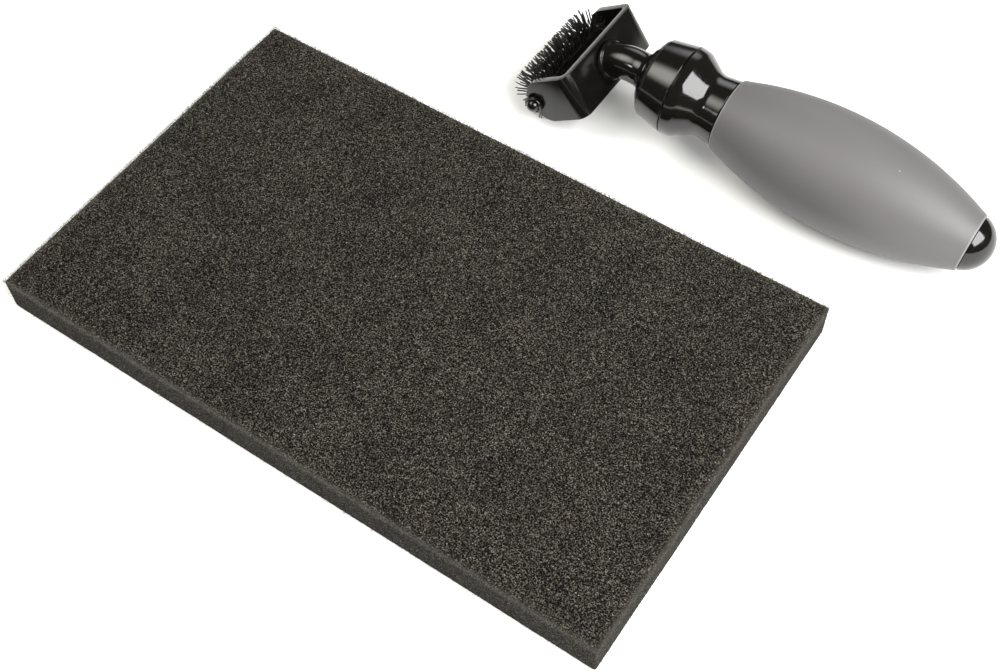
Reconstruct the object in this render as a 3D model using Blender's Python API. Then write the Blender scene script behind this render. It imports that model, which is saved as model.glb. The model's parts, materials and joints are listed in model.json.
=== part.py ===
"""Die-cleaning roller brush and its foam pad, lying side by side on one surface.

World frame: origin at the centre of the pad's underside, +X along the pad's long side,
+Y from the pad toward the brush, +Z up.  Lengths are metres and angles radians.

The brush is drawn in a frame of its own, brush_frame: +X runs along the handle's axis toward
the head, +Y toward the pad and +Z up from the handle.  Its origin is on the axis, at the
front face of the handle, where the screw collar meets it.  The bracket is drawn in
head_frame: +X runs along the bracket's arms, and the origin is the middle of its back face.
"""

from math import asin, atan2, ceil, cos, hypot, pi, radians, sin, sqrt, tan

import bmesh
import bpy
from mathutils import Matrix, Vector

# ---- driving dimensions ----------------------------------------------------------------------

FIT_GAP = 0.0003  # clearance between two pieces that touch

# foam pad
PAD_LENGTH = 0.2286
PAD_WIDTH = 0.1397
PAD_THICKNESS = 0.014
PAD_EDGE_ROUND = 0.0009

# where the brush lies beside the pad
BELLY_ALONG = 0.0994  # from the pad's centre to where the barrel touches the surface, along X
BRUSH_SPACING = 0.0458  # from the pad's far edge to the handle's axis, along Y

# handle
SLEEVE_LENGTH = 0.0913
BELLY_RADIUS = 0.02015
BELLY_SETBACK = 0.0423  # from the sleeve's front edge back to its widest place
SLEEVE_REAR_RADIUS = 0.01006
SLEEVE_EDGE_ROUND = 0.0005
CAP_DOME_LENGTH = 0.0073
CAP_RIM_STEP = 0.0002  # the cap's rim is this much inside the sleeve's rear edge
CAP_PLUG_RADIUS = 0.0032
CAP_PLUG_LENGTH = 0.010
STEM_RADIUS = 0.0075  # the core's stem inside the sleeve
LAND_LENGTH = 0.0181  # the core's bare length, from the sleeve to the collar
LAND_STEP = 0.0005  # the core's shoulder is this much inside the sleeve's front edge
WAIST_RADIUS = 0.0112
WAIST_SETBACK = 0.0105  # from the handle's front face
FLARE_RADIUS = 0.01625
FLARE_SLOPE_SETBACK = 0.0034  # where the flare's slope turns into the rim band
FLARE_BAND_TAPER = 0.0005  # how much the rim band's radius falls behind the handle's face
FLARE_FILLET = 0.005
THREAD_RADIUS = 0.0110  # the spigot that carries the collar
SPIGOT_LENGTH = 0.0095

# collet and collar
COLLET_RADIUS = 0.0085
COLLET_DEPTH = 0.0080  # how far the collet sits inside the handle
COLLET_NOSE_LENGTH = 0.0026
COLLET_NOSE_TIP_RADIUS = 0.0068
COLLET_SLIT_WIDTH = 0.0010
COLLET_SLIT_LENGTH = 0.0125
COLLET_PILOT_RADIUS = 0.0015  # small through hole behind the hexagon
CLAMP_RING_THICKNESS = 0.0010
COLLAR_LENGTH = 0.0131
COLLAR_TAPER = 0.0020  # how much the collar's radius falls from its back to its nose
COLLAR_NOSE_LENGTH = 0.0028
COLLAR_FACE_RADIUS = 0.0104
COLLAR_WALL_AT_MOUTH = 0.0014

# neck
SHANK_ACROSS_FLATS = 0.0080
SHANK_DEPTH = 0.0055  # how far the shank reaches inside the handle's front face
SHANK_TIP_CHAMFER = 0.0006
SHOULDER_RADIUS = 0.0074
SHOULDER_LENGTH = 0.0030
NECK_RADIUS = 0.0062
NECK_STRAIGHT = 0.0056  # from the collar's front face to the start of the bend
NECK_BEND_RADIUS = 0.0166
NECK_BEND_ANGLE = radians(38.5)
FLANGE_RADIUS = 0.0071
FLANGE_THICKNESS = 0.0012

# bracket
BRACKET_WIDTH = 0.0452
BRACKET_HEIGHT = 0.0170
BRACKET_DEPTH = 0.0230  # from its back face to the ends of its arms
SHEET = 0.0026
SHEET_BEND_RADIUS = 0.0042
ARM_CORNER_CUT = 0.0052
BRACKET_EDGE_ROUND = 0.0003

# screw that holds the bracket to the neck
SCREW_RADIUS = 0.0015
SCREW_HEAD_RADIUS = 0.0029
SCREW_HEAD_HEIGHT = 0.0016
SCREW_GRIP = 0.0070  # length inside the neck
SCREW_SOCKET_RADIUS = 0.0012
SCREW_SOCKET_DEPTH = 0.0009
SCREW_WASHER_RADIUS = 0.0035
SCREW_WASHER_THICKNESS = 0.0006

# roller and its axle
AXLE_SETBACK = 0.0203  # from the bracket's back face
AXLE_RADIUS = 0.0015
AXLE_FLANGE_RADIUS = 0.0035
AXLE_FLANGE_THICKNESS = 0.0013
AXLE_DOME_RADIUS = 0.0024
AXLE_DOME_HEIGHT = 0.0020
THRUST_WASHER_RADIUS = 0.0033
THRUST_WASHER_THICKNESS = 0.0008
ROLLER_CORE_RADIUS = 0.0040
BRISTLE_TIP_RADIUS = 0.0115
BRISTLE_ROWS = 16
BRISTLE_ROW_THICKNESS = 0.0009
BRISTLE_END_MARGIN = 0.0004  # a row stops this far inside each end of the roller core

# how finely the round shapes are divided
BIG_SIDES = 36
SMALL_SIDES = 20
BARREL_STEPS = 16
DOME_STEPS = 5
BEND_STEPS = 6
ARC_STEP = radians(24.0)

# ---- derived places, in brush_frame ----------------------------------------------------------

sleeve_front = -LAND_LENGTH
sleeve_rear = sleeve_front - SLEEVE_LENGTH
belly = sleeve_front - BELLY_SETBACK
belly_drop = BELLY_RADIUS - SLEEVE_REAR_RADIUS
barrel_arc = ((belly - sleeve_rear) ** 2 + belly_drop**2) / (2.0 * belly_drop)
land_front = 0.0
spigot_front = SPIGOT_LENGTH
collar_rear = FIT_GAP
collar_front = COLLAR_LENGTH
bend_start = collar_front + NECK_STRAIGHT
plate_x = bend_start + NECK_BEND_RADIUS * sin(NECK_BEND_ANGLE)
plate_z = -NECK_BEND_RADIUS * (1.0 - cos(NECK_BEND_ANGLE))
axle_x = plate_x + AXLE_SETBACK * cos(NECK_BEND_ANGLE)
axle_z = plate_z - AXLE_SETBACK * sin(NECK_BEND_ANGLE)


def barrel_radius(x):
    """The sleeve's outer radius at x: one long arc through the belly."""
    return BELLY_RADIUS - barrel_arc + sqrt(barrel_arc**2 - (x - belly) ** 2)


def rest_tilt():
    """How far the head is raised when belly and bristles both touch the surface."""
    along = axle_x - belly
    rise = axle_z - (barrel_arc - BELLY_RADIUS)
    reach = hypot(along, rise)
    return asin((BRISTLE_TIP_RADIUS - barrel_arc) / reach) - atan2(rise, along)


# ---- materials -------------------------------------------------------------------------------

COLOURS = {
    # name: (red, green, blue, roughness, metallic)
    "foam": (0.045, 0.043, 0.040, 0.95, 0.0),
    "grip_rubber": (0.27, 0.25, 0.24, 0.60, 0.0),
    "gloss_black": (0.012, 0.012, 0.010, 0.12, 0.0),
    "bracket_steel": (0.045, 0.041, 0.040, 0.38, 0.6),
    "bright_steel": (0.55, 0.54, 0.52, 0.30, 1.0),
    "black_nylon": (0.010, 0.010, 0.010, 0.45, 0.0),
    "roller_plastic": (0.020, 0.020, 0.020, 0.50, 0.0),
}


def material(name):
    """The named material, made the first time it is asked for."""
    found = bpy.data.materials.get(name)
    if found:
        return found
    red, green, blue, roughness, metallic = COLOURS[name]
    made = bpy.data.materials.new(name)
    made.use_nodes = True
    shader = made.node_tree.nodes["Principled BSDF"]
    shader.inputs["Base Color"].default_value = (red, green, blue, 1.0)
    shader.inputs["Roughness"].default_value = roughness
    shader.inputs["Metallic"].default_value = metallic
    return made


# ---- modelling helpers -----------------------------------------------------------------------


def clear_scene():
    """Remove every object that the file opened with."""
    for thing in list(bpy.data.objects):
        bpy.data.objects.remove(thing, do_unlink=True)


def frame_empty(name, parent, location, rotation):
    """An empty that other pieces are placed under."""
    empty = bpy.data.objects.new(name, None)
    empty.empty_display_size = 0.01
    bpy.context.collection.objects.link(empty)
    empty.parent = parent
    empty.location = location
    empty.rotation_euler = rotation
    return empty


def finish(name, bm, material_name, parent, smooth=True):
    """Turn a bmesh into a named object under its parent."""
    mesh = bpy.data.meshes.new(name)
    bmesh.ops.recalc_face_normals(bm, faces=bm.faces)
    bm.to_mesh(mesh)
    bm.free()
    if smooth:
        mesh.shade_smooth()
        mesh.set_sharp_from_angle(angle=radians(32.0))
    piece = bpy.data.objects.new(name, mesh)
    bpy.context.collection.objects.link(piece)
    piece.data.materials.append(material(material_name))
    piece.parent = parent
    return piece


def rounded(corners):
    """An outline through corners (along, out, fillet), with each fillet drawn as an arc."""
    points = []
    for index, (along, out, fillet) in enumerate(corners):
        here = Vector((along, out))
        if fillet == 0.0:
            points.append(here)
            continue
        back = (Vector(corners[index - 1][:2]) - here).normalized()
        ahead = (Vector(corners[(index + 1) % len(corners)][:2]) - here).normalized()
        half = back.angle(ahead) / 2.0
        centre = here + (back + ahead).normalized() * (fillet / sin(half))
        start = here + back * (fillet / tan(half)) - centre
        end = here + ahead * (fillet / tan(half)) - centre
        turn = atan2(start.x * end.y - start.y * end.x, start.dot(end))
        steps = max(1, ceil(abs(turn) / ARC_STEP))
        for step in range(steps + 1):
            points.append(centre + Matrix.Rotation(turn * step / steps, 2) @ start)
    return points


def turned(name, outline, material_name, parent, sides, closed=False):
    """A piece turned about its X axis from an outline of (along, radius) points.

    An open outline starts and ends on the axis; a closed one is the section of a ring.
    """
    bm = bmesh.new()
    verts = [bm.verts.new((along, 0.0, radius)) for along, radius in outline]
    edges = [bm.edges.new(pair) for pair in zip(verts, verts[1:])]
    if closed:
        edges.append(bm.edges.new((verts[-1], verts[0])))
    bmesh.ops.spin(
        bm, geom=verts + edges, cent=(0, 0, 0), axis=(1, 0, 0), angle=2 * pi, steps=sides,
        use_merge=True,
    )
    bmesh.ops.remove_doubles(bm, verts=bm.verts, dist=1e-6)
    return finish(name, bm, material_name, parent)


def cut_with(piece, cutter):
    """Subtract a hidden cutter from a piece."""
    cutter.hide_render = True
    cutter.display_type = "WIRE"
    cut = piece.modifiers.new(cutter.name, "BOOLEAN")
    cut.operation = "DIFFERENCE"
    cut.object = cutter


def join_with(piece, other):
    """Join a hidden shape to a piece."""
    cut_with(piece, other)
    piece.modifiers[other.name].operation = "UNION"


def soften_edges(piece, width):
    """A one-step bevel along the piece's sharp edges."""
    bevel = piece.modifiers.new("soft edges", "BEVEL")
    bevel.width = width
    bevel.segments = 1
    bevel.limit_method = "ANGLE"
    bevel.angle_limit = radians(40.0)


def rod(name, radius, length, sides, parent):
    """A plain rod along X, centred on its origin, for cutting or joining."""
    bm = bmesh.new()
    bmesh.ops.create_cone(
        bm, cap_ends=True, segments=sides, radius1=radius, radius2=radius, depth=length,
        matrix=Matrix.Rotation(pi / 2, 4, "Y"),
    )
    return finish(name, bm, "bright_steel", parent, smooth=False)


def block(name, size, material_name, parent):
    """A box of the given size, centred on its origin."""
    bm = bmesh.new()
    bmesh.ops.create_cube(bm, size=1.0, matrix=Matrix.Diagonal((*size, 1.0)))
    return finish(name, bm, material_name, parent, smooth=False)


# ---- pad -------------------------------------------------------------------------------------


def foam_pad():
    """A plain slab of foam with slightly softened edges."""
    pad = block("foam_pad", (PAD_LENGTH, PAD_WIDTH, PAD_THICKNESS), "foam", None)
    pad.location = (0.0, 0.0, PAD_THICKNESS / 2.0)
    soften_edges(pad, PAD_EDGE_ROUND)


# ---- handle ----------------------------------------------------------------------------------


def grip_sleeve(brush):
    """Rubber barrel over the core's stem, one arc from end to end."""
    bore = STEM_RADIUS + FIT_GAP
    outline = [Vector((sleeve_rear, bore))]
    for step in range(BARREL_STEPS + 1):
        share = step / BARREL_STEPS
        x = sleeve_rear + SLEEVE_EDGE_ROUND + share * (SLEEVE_LENGTH - 2 * SLEEVE_EDGE_ROUND)
        outline.append(Vector((x, barrel_radius(x))))
    outline.insert(1, Vector((sleeve_rear, barrel_radius(sleeve_rear) - SLEEVE_EDGE_ROUND)))
    outline.append(Vector((sleeve_front, barrel_radius(sleeve_front) - SLEEVE_EDGE_ROUND)))
    outline.append(Vector((sleeve_front, bore)))
    turned("grip_sleeve", outline, "grip_rubber", brush, BIG_SIDES, closed=True)


def handle_core(brush):
    """Moulded core: stem, waist, flare and threaded spigot, hollow at both ends."""
    plug_bottom = sleeve_rear + CAP_PLUG_LENGTH + FIT_GAP
    plug_bore = CAP_PLUG_RADIUS + FIT_GAP
    shoulder = sleeve_front + FIT_GAP
    cavity = COLLET_RADIUS + FIT_GAP
    cavity_bottom = -COLLET_DEPTH - FIT_GAP
    outline = rounded(
        [
            (plug_bottom, 0.0, 0.0),
            (plug_bottom, plug_bore, 0.0),
            (sleeve_rear, plug_bore, 0.0),
            (sleeve_rear, STEM_RADIUS, 0.0),
            (shoulder, STEM_RADIUS, 0.0),
            (shoulder, barrel_radius(sleeve_front) - LAND_STEP, 0.0),
            (-WAIST_SETBACK, WAIST_RADIUS, FLARE_FILLET),
            (-FLARE_SLOPE_SETBACK, FLARE_RADIUS - FLARE_BAND_TAPER, FLARE_FILLET),
            (land_front, FLARE_RADIUS, 0.0),
            (land_front, THREAD_RADIUS, 0.0),
            (spigot_front, THREAD_RADIUS, 0.0),
            (spigot_front, cavity, 0.0),
            (cavity_bottom, cavity, 0.0),
            (cavity_bottom, 0.0, 0.0),
        ]
    )
    turned("handle_core", outline, "gloss_black", brush, BIG_SIDES)


def end_cap(brush):
    """Domed cap with a plug that presses into the core's rear bore."""
    rim = barrel_radius(sleeve_rear) - CAP_RIM_STEP
    face = sleeve_rear - FIT_GAP
    ball = (CAP_DOME_LENGTH**2 + rim**2) / (2.0 * CAP_DOME_LENGTH)
    spread = asin(rim / ball)
    centre = face - CAP_DOME_LENGTH + ball
    outline = []
    for step in range(DOME_STEPS + 1):
        angle = spread * step / DOME_STEPS
        outline.append(Vector((centre - ball * cos(angle), ball * sin(angle))))
    outline[0].y = 0.0
    tip = sleeve_rear + CAP_PLUG_LENGTH
    outline += [
        Vector((face, CAP_PLUG_RADIUS)),
        Vector((tip, CAP_PLUG_RADIUS)),
        Vector((tip, 0.0)),
    ]
    turned("end_cap", outline, "gloss_black", brush, BIG_SIDES)


def collet(brush):
    """Split sleeve with a hexagonal bore, closed on the neck's shank by the collar."""
    nose_start = spigot_front + 2 * FIT_GAP
    nose_tip = nose_start + COLLET_NOSE_LENGTH
    outline = rounded(
        [
            (-COLLET_DEPTH, COLLET_PILOT_RADIUS, 0.0),
            (-COLLET_DEPTH, COLLET_RADIUS, 0.0),
            (nose_start, COLLET_RADIUS, 0.0),
            (nose_tip, COLLET_NOSE_TIP_RADIUS, 0.0),
            (nose_tip, COLLET_PILOT_RADIUS, 0.0),
        ]
    )
    piece = turned("collet", outline, "bright_steel", brush, SMALL_SIDES, closed=True)
    hexagon_radius = (SHANK_ACROSS_FLATS / 2.0 + FIT_GAP) / cos(pi / 6)
    hexagon_start = -SHANK_DEPTH - FIT_GAP
    hexagon_length = 2.0 * (nose_tip - hexagon_start)
    hexagon = rod("collet_hexagon_cut", hexagon_radius, hexagon_length, 6, brush)
    hexagon.location = (hexagon_start + hexagon_length / 2.0, 0.0, 0.0)
    cut_with(piece, hexagon)
    for index, turn in enumerate((radians(45.0), radians(135.0))):
        size = (2.0 * COLLET_SLIT_LENGTH, 3.0 * COLLET_RADIUS, COLLET_SLIT_WIDTH)
        slit = block(f"collet_slit_cut_{index + 1}", size, "bright_steel", brush)
        slit.location = (nose_tip, 0.0, 0.0)
        slit.rotation_euler = (turn, 0.0, 0.0)
        cut_with(piece, slit)


def clamp_ring(brush):
    """Ring inside the collar that bears on the collet's nose and does not turn with it."""
    rear = spigot_front + FIT_GAP
    outline = [
        (rear, COLLET_RADIUS + FIT_GAP),
        (rear, THREAD_RADIUS - FIT_GAP),
        (rear + CLAMP_RING_THICKNESS, THREAD_RADIUS - FIT_GAP),
        (rear + CLAMP_RING_THICKNESS, COLLET_RADIUS + FIT_GAP),
    ]
    turned("clamp_ring", outline, "bright_steel", brush, BIG_SIDES, closed=True)


def clamp_collar(brush):
    """Tapered screw collar with a chamfered nose."""
    bore = THREAD_RADIUS + FIT_GAP
    seat = spigot_front + CLAMP_RING_THICKNESS + 2 * FIT_GAP
    mouth = SHOULDER_RADIUS + 2 * FIT_GAP
    throat = COLLET_RADIUS + 2 * FIT_GAP
    nose_start = collar_front - COLLAR_NOSE_LENGTH
    outline = rounded(
        [
            (collar_rear, bore, 0.0),
            (collar_rear, FLARE_RADIUS, 0.0002),
            (nose_start, FLARE_RADIUS - COLLAR_TAPER, 0.0012),
            (collar_front, COLLAR_FACE_RADIUS, 0.0008),
            (collar_front, mouth, 0.0),
            (collar_front - COLLAR_WALL_AT_MOUTH, mouth, 0.0),
            (seat, throat, 0.0),
            (seat, bore, 0.0),
        ]
    )
    turned("clamp_collar", outline, "gloss_black", brush, BIG_SIDES, closed=True)


# ---- head ------------------------------------------------------------------------------------


def neck_elbow(brush):
    """Hexagonal shank, conical shoulder, bent neck and bracket flange in one piece."""
    shoulder_rear = spigot_front + 3 * FIT_GAP + COLLET_NOSE_LENGTH
    shoulder_front = shoulder_rear + SHOULDER_LENGTH
    rings = [
        (shoulder_rear, 0.0, 0.0, SHOULDER_RADIUS - 2 * FIT_GAP),
        (shoulder_rear + FIT_GAP, 0.0, 0.0, SHOULDER_RADIUS),
        (shoulder_front - SHOULDER_LENGTH / 3.0, 0.0, 0.0, SHOULDER_RADIUS - FIT_GAP),
        (shoulder_front, 0.0, 0.0, NECK_RADIUS),
    ]
    bend_centre = bend_start, -NECK_BEND_RADIUS
    flange_back = FLANGE_THICKNESS + FIT_GAP
    flange_turn = flange_back / NECK_BEND_RADIUS
    for step in range(BEND_STEPS + 1):
        turn = (NECK_BEND_ANGLE - flange_turn) * step / BEND_STEPS
        x = bend_centre[0] + NECK_BEND_RADIUS * sin(turn)
        z = bend_centre[1] + NECK_BEND_RADIUS * cos(turn)
        rings.append((x, z, turn, NECK_RADIUS))
    for back, radius in ((flange_back, FLANGE_RADIUS), (FIT_GAP, FLANGE_RADIUS)):
        x = plate_x - back * cos(NECK_BEND_ANGLE)
        z = plate_z + back * sin(NECK_BEND_ANGLE)
        rings.append((x, z, NECK_BEND_ANGLE, radius))
    bm = bmesh.new()
    loops = []
    for x, z, turn, radius in rings:
        place = Matrix.Translation((x, 0.0, z)) @ Matrix.Rotation(turn + pi / 2, 4, "Y")
        made = bmesh.ops.create_circle(bm, segments=SMALL_SIDES, radius=radius, matrix=place)
        loops.append(made["verts"])
    for before, after in zip(loops, loops[1:]):
        for side in range(SMALL_SIDES):
            ahead = (side + 1) % SMALL_SIDES
            bm.faces.new((before[side], before[ahead], after[ahead], after[side]))
    bm.faces.new(loops[0])
    bm.faces.new(loops[-1])
    piece = finish("neck_elbow", bm, "gloss_black", brush)

    shank_radius = SHANK_ACROSS_FLATS / 2.0 / cos(pi / 6)
    shank_front = (shoulder_rear + bend_start) / 2.0
    shank_length = shank_front + SHANK_DEPTH
    shank = rod("neck_shank_join", shank_radius, shank_length, 6, brush)
    shank.location = (shank_front - shank_length / 2.0, 0.0, 0.0)
    soften_edges(shank, SHANK_TIP_CHAMFER)
    join_with(piece, shank)
    screw_hole = rod("neck_screw_cut", SCREW_RADIUS + FIT_GAP, 2 * SCREW_GRIP + 2 * FIT_GAP,
                     SMALL_SIDES, brush)
    screw_hole.location = (plate_x, 0.0, plate_z)
    screw_hole.rotation_euler = (0.0, NECK_BEND_ANGLE, 0.0)
    cut_with(piece, screw_hole)


def yoke_bracket(head, roller):
    """U of bent sheet: a back plate and two arms with their front corners cut off."""
    half = BRACKET_WIDTH / 2.0
    inner = half - SHEET
    inner_bend = SHEET_BEND_RADIUS - SHEET
    outline = rounded(
        [
            (BRACKET_DEPTH, half, 0.0),
            (0.0, half, SHEET_BEND_RADIUS),
            (0.0, -half, SHEET_BEND_RADIUS),
            (BRACKET_DEPTH, -half, 0.0),
            (BRACKET_DEPTH, -inner, 0.0),
            (SHEET, -inner, inner_bend),
            (SHEET, inner, inner_bend),
            (BRACKET_DEPTH, inner, 0.0),
        ]
    )
    bm = bmesh.new()
    base = bm.faces.new([bm.verts.new((x, y, -BRACKET_HEIGHT / 2.0)) for x, y in outline])
    raised = bmesh.ops.extrude_face_region(bm, geom=[base])
    top = [item for item in raised["geom"] if isinstance(item, bmesh.types.BMVert)]
    bmesh.ops.translate(bm, verts=top, vec=(0.0, 0.0, BRACKET_HEIGHT))
    for side in (1.0, -1.0):
        corner = Vector((BRACKET_DEPTH - ARM_CORNER_CUT, 0.0, side * BRACKET_HEIGHT / 2.0))
        bmesh.ops.bisect_plane(
            bm, geom=bm.verts[:] + bm.edges[:] + bm.faces[:], dist=1e-7, plane_co=corner,
            plane_no=(1.0, 0.0, side), clear_outer=True,
        )
        bmesh.ops.holes_fill(bm, edges=[edge for edge in bm.edges if edge.is_boundary], sides=8)
    bmesh.ops.remove_doubles(bm, verts=bm.verts, dist=1e-7)
    piece = finish("yoke_bracket", bm, "bracket_steel", head)
    soften_edges(piece, BRACKET_EDGE_ROUND)
    axle_hole = rod("axle_hole_cut", AXLE_RADIUS + FIT_GAP, 2 * BRACKET_WIDTH, SMALL_SIDES, roller)
    cut_with(piece, axle_hole)
    screw_hole = rod("bracket_screw_cut", SCREW_RADIUS + FIT_GAP, 4 * SHEET, SMALL_SIDES, head)
    cut_with(piece, screw_hole)


def neck_fastening(head):
    """Screw and washer that hold the bracket to the neck, from inside the U."""
    washer_rear = SHEET + FIT_GAP
    washer_front = washer_rear + SCREW_WASHER_THICKNESS
    hole = SCREW_RADIUS + FIT_GAP
    ring = [
        (washer_rear, hole),
        (washer_rear, SCREW_WASHER_RADIUS),
        (washer_front, SCREW_WASHER_RADIUS),
        (washer_front, hole),
    ]
    turned("neck_washer", ring, "bright_steel", head, SMALL_SIDES, closed=True)
    head_rear = washer_front + FIT_GAP
    head_front = head_rear + SCREW_HEAD_HEIGHT
    outline = rounded(
        [
            (-SCREW_GRIP, 0.0, 0.0),
            (-SCREW_GRIP, SCREW_RADIUS, 0.0),
            (head_rear, SCREW_RADIUS, 0.0),
            (head_rear, SCREW_HEAD_RADIUS, 0.0),
            (head_front, SCREW_HEAD_RADIUS, 0.0008),
            (head_front, SCREW_SOCKET_RADIUS, 0.0),
            (head_front - SCREW_SOCKET_DEPTH, SCREW_SOCKET_RADIUS, 0.0),
            (head_front - SCREW_SOCKET_DEPTH, 0.0, 0.0),
        ]
    )
    turned("neck_screw", outline, "bright_steel", head, SMALL_SIDES)


# ---- roller and axle, turned about the axle line ---------------------------------------------


def dome(start, radius, height):
    """The points of a low dome of the given radius that closes on the axis."""
    steps = DOME_STEPS - 1
    points = []
    for step in range(steps + 1):
        angle = (pi / 2.0) * step / steps
        points.append(Vector((start + height * sin(angle), radius * cos(angle))))
    points[-1].y = 0.0
    return points


def axle(line):
    """Pin with a stepped domed head on the near arm, and its push-on cap on the far one."""
    arm = BRACKET_WIDTH / 2.0
    head_rear = arm + FIT_GAP
    head_front = head_rear + AXLE_FLANGE_THICKNESS
    far_end = -arm - FIT_GAP - AXLE_FLANGE_THICKNESS
    pin = rounded(
        [
            (far_end, 0.0, 0.0),
            (far_end, AXLE_RADIUS, 0.0),
            (head_rear, AXLE_RADIUS, 0.0),
            (head_rear, AXLE_FLANGE_RADIUS, 0.0),
            (head_front, AXLE_FLANGE_RADIUS, 0.0005),
            (head_front, AXLE_DOME_RADIUS, 0.0),
        ]
    )
    pin += dome(head_front, AXLE_DOME_RADIUS, AXLE_DOME_HEIGHT)[1:]
    turned("axle_pin", pin, "gloss_black", line, SMALL_SIDES)

    bore = AXLE_RADIUS + FIT_GAP
    bore_bottom = -far_end + FIT_GAP
    cap = rounded(
        [
            (bore_bottom, 0.0, 0.0),
            (bore_bottom, bore, 0.0),
            (head_rear, bore, 0.0),
            (head_rear, AXLE_FLANGE_RADIUS, 0.0),
            (head_front, AXLE_FLANGE_RADIUS, 0.0005),
            (head_front, AXLE_DOME_RADIUS, 0.0),
        ]
    )
    cap += dome(head_front, AXLE_DOME_RADIUS, AXLE_DOME_HEIGHT)[1:]
    mirrored = [Vector((-along, radius)) for along, radius in cap]
    turned("axle_cap", mirrored, "gloss_black", line, SMALL_SIDES)


def thrust_washers(line):
    """Two plain washers that keep the roller off the bracket's arms."""
    outer = BRACKET_WIDTH / 2.0 - SHEET - FIT_GAP
    inner = outer - THRUST_WASHER_THICKNESS
    for name, side in (("thrust_washer_near", 1.0), ("thrust_washer_far", -1.0)):
        ring = [
            (side * inner, AXLE_RADIUS + FIT_GAP),
            (side * inner, THRUST_WASHER_RADIUS),
            (side * outer, THRUST_WASHER_RADIUS),
            (side * outer, AXLE_RADIUS + FIT_GAP),
        ]
        turned(name, ring, "bright_steel", line, SMALL_SIDES, closed=True)


def roller(line, down):
    """Plastic barrel with sixteen bristle rows, one of them straight down at rest."""
    half = BRACKET_WIDTH / 2.0 - SHEET - THRUST_WASHER_THICKNESS - 2 * FIT_GAP
    core = [
        (-half, AXLE_RADIUS + FIT_GAP),
        (-half, ROLLER_CORE_RADIUS),
        (half, ROLLER_CORE_RADIUS),
        (half, AXLE_RADIUS + FIT_GAP),
    ]
    turned("roller_core", core, "roller_plastic", line, BRISTLE_ROWS * 2, closed=True)
    root = ROLLER_CORE_RADIUS + FIT_GAP
    size = (2 * (half - BRISTLE_END_MARGIN), BRISTLE_ROW_THICKNESS, BRISTLE_TIP_RADIUS - root)
    reach = (BRISTLE_TIP_RADIUS + root) / 2.0
    for row in range(BRISTLE_ROWS):
        turn = down + 2 * pi * row / BRISTLE_ROWS
        place = Matrix.Rotation(turn, 4, "X") @ Matrix.Translation((0.0, 0.0, -reach))
        strip = block(f"bristle_row_{row + 1:02d}", size, "black_nylon", line)
        strip.matrix_local = place


# ---- assembly --------------------------------------------------------------------------------


def build():
    """Make every piece in its place."""
    clear_scene()
    foam_pad()

    tilt = rest_tilt()
    arc_centre = Vector((belly, 0.0, barrel_arc - BELLY_RADIUS))
    turn = Matrix.Rotation(pi, 3, "Z") @ Matrix.Rotation(-tilt, 3, "Y")
    belly_above_floor = Vector((BELLY_ALONG, PAD_WIDTH / 2.0 + BRUSH_SPACING, barrel_arc))
    origin = belly_above_floor - turn @ arc_centre
    brush = frame_empty("brush_frame", None, origin, turn.to_euler())
    head = frame_empty("head_frame", brush, (plate_x, 0.0, plate_z), (0.0, NECK_BEND_ANGLE, 0.0))
    line = frame_empty("axle_line", head, (AXLE_SETBACK, 0.0, 0.0), (0.0, 0.0, pi / 2))

    grip_sleeve(brush)
    handle_core(brush)
    end_cap(brush)
    collet(brush)
    clamp_ring(brush)
    clamp_collar(brush)
    neck_elbow(brush)
    yoke_bracket(head, line)
    neck_fastening(head)
    axle(line)
    thrust_washers(line)
    roller(line, NECK_BEND_ANGLE - tilt)


build()
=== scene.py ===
"""Finished look of a die-cleaning roller brush and the foam pad that goes with it.

The file is laid out as an add-on: settings, one operator for each piece or group of like pieces,
one for the stage, and a panel in the 3D view's sidebar that lists them.  Run as a script, it
makes every piece round the fixed frame.

Lengths are metres and angles radians.  The brush is drawn in a frame of its own, with X along
the handle toward the head, Y toward the pad and Z up from the handle; its origin is on the
handle's axis, at the front face of the handle.  Finished pieces are moved from there into the
shared frame, so that each object sits at the origin with its place in its mesh.
"""

import json
from math import asin, atan2, ceil, cos, hypot, pi, radians, sin, sqrt, tan

import bpy
import numpy as np
from mathutils import Matrix, Vector


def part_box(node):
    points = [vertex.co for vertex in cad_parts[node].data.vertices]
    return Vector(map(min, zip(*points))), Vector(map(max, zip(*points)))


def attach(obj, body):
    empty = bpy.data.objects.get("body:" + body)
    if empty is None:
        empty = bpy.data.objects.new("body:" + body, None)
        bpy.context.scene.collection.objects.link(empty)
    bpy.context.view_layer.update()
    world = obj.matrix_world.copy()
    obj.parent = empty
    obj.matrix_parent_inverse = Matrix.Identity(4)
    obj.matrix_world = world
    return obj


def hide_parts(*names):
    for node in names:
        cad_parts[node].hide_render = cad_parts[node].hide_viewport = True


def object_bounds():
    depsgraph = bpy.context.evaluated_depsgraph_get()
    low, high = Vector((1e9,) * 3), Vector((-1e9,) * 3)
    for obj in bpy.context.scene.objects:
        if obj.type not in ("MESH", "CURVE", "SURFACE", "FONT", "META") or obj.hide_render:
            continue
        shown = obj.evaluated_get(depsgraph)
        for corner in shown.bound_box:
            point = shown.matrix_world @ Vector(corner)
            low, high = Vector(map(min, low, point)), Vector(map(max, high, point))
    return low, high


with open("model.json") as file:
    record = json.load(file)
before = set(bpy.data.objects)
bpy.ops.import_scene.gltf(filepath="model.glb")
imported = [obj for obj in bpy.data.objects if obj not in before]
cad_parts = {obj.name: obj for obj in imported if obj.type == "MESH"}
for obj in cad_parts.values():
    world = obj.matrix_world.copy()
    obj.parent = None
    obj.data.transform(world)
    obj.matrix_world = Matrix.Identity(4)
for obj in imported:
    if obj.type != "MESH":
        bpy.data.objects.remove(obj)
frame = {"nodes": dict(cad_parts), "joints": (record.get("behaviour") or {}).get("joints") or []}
CAD_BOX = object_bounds()

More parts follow.
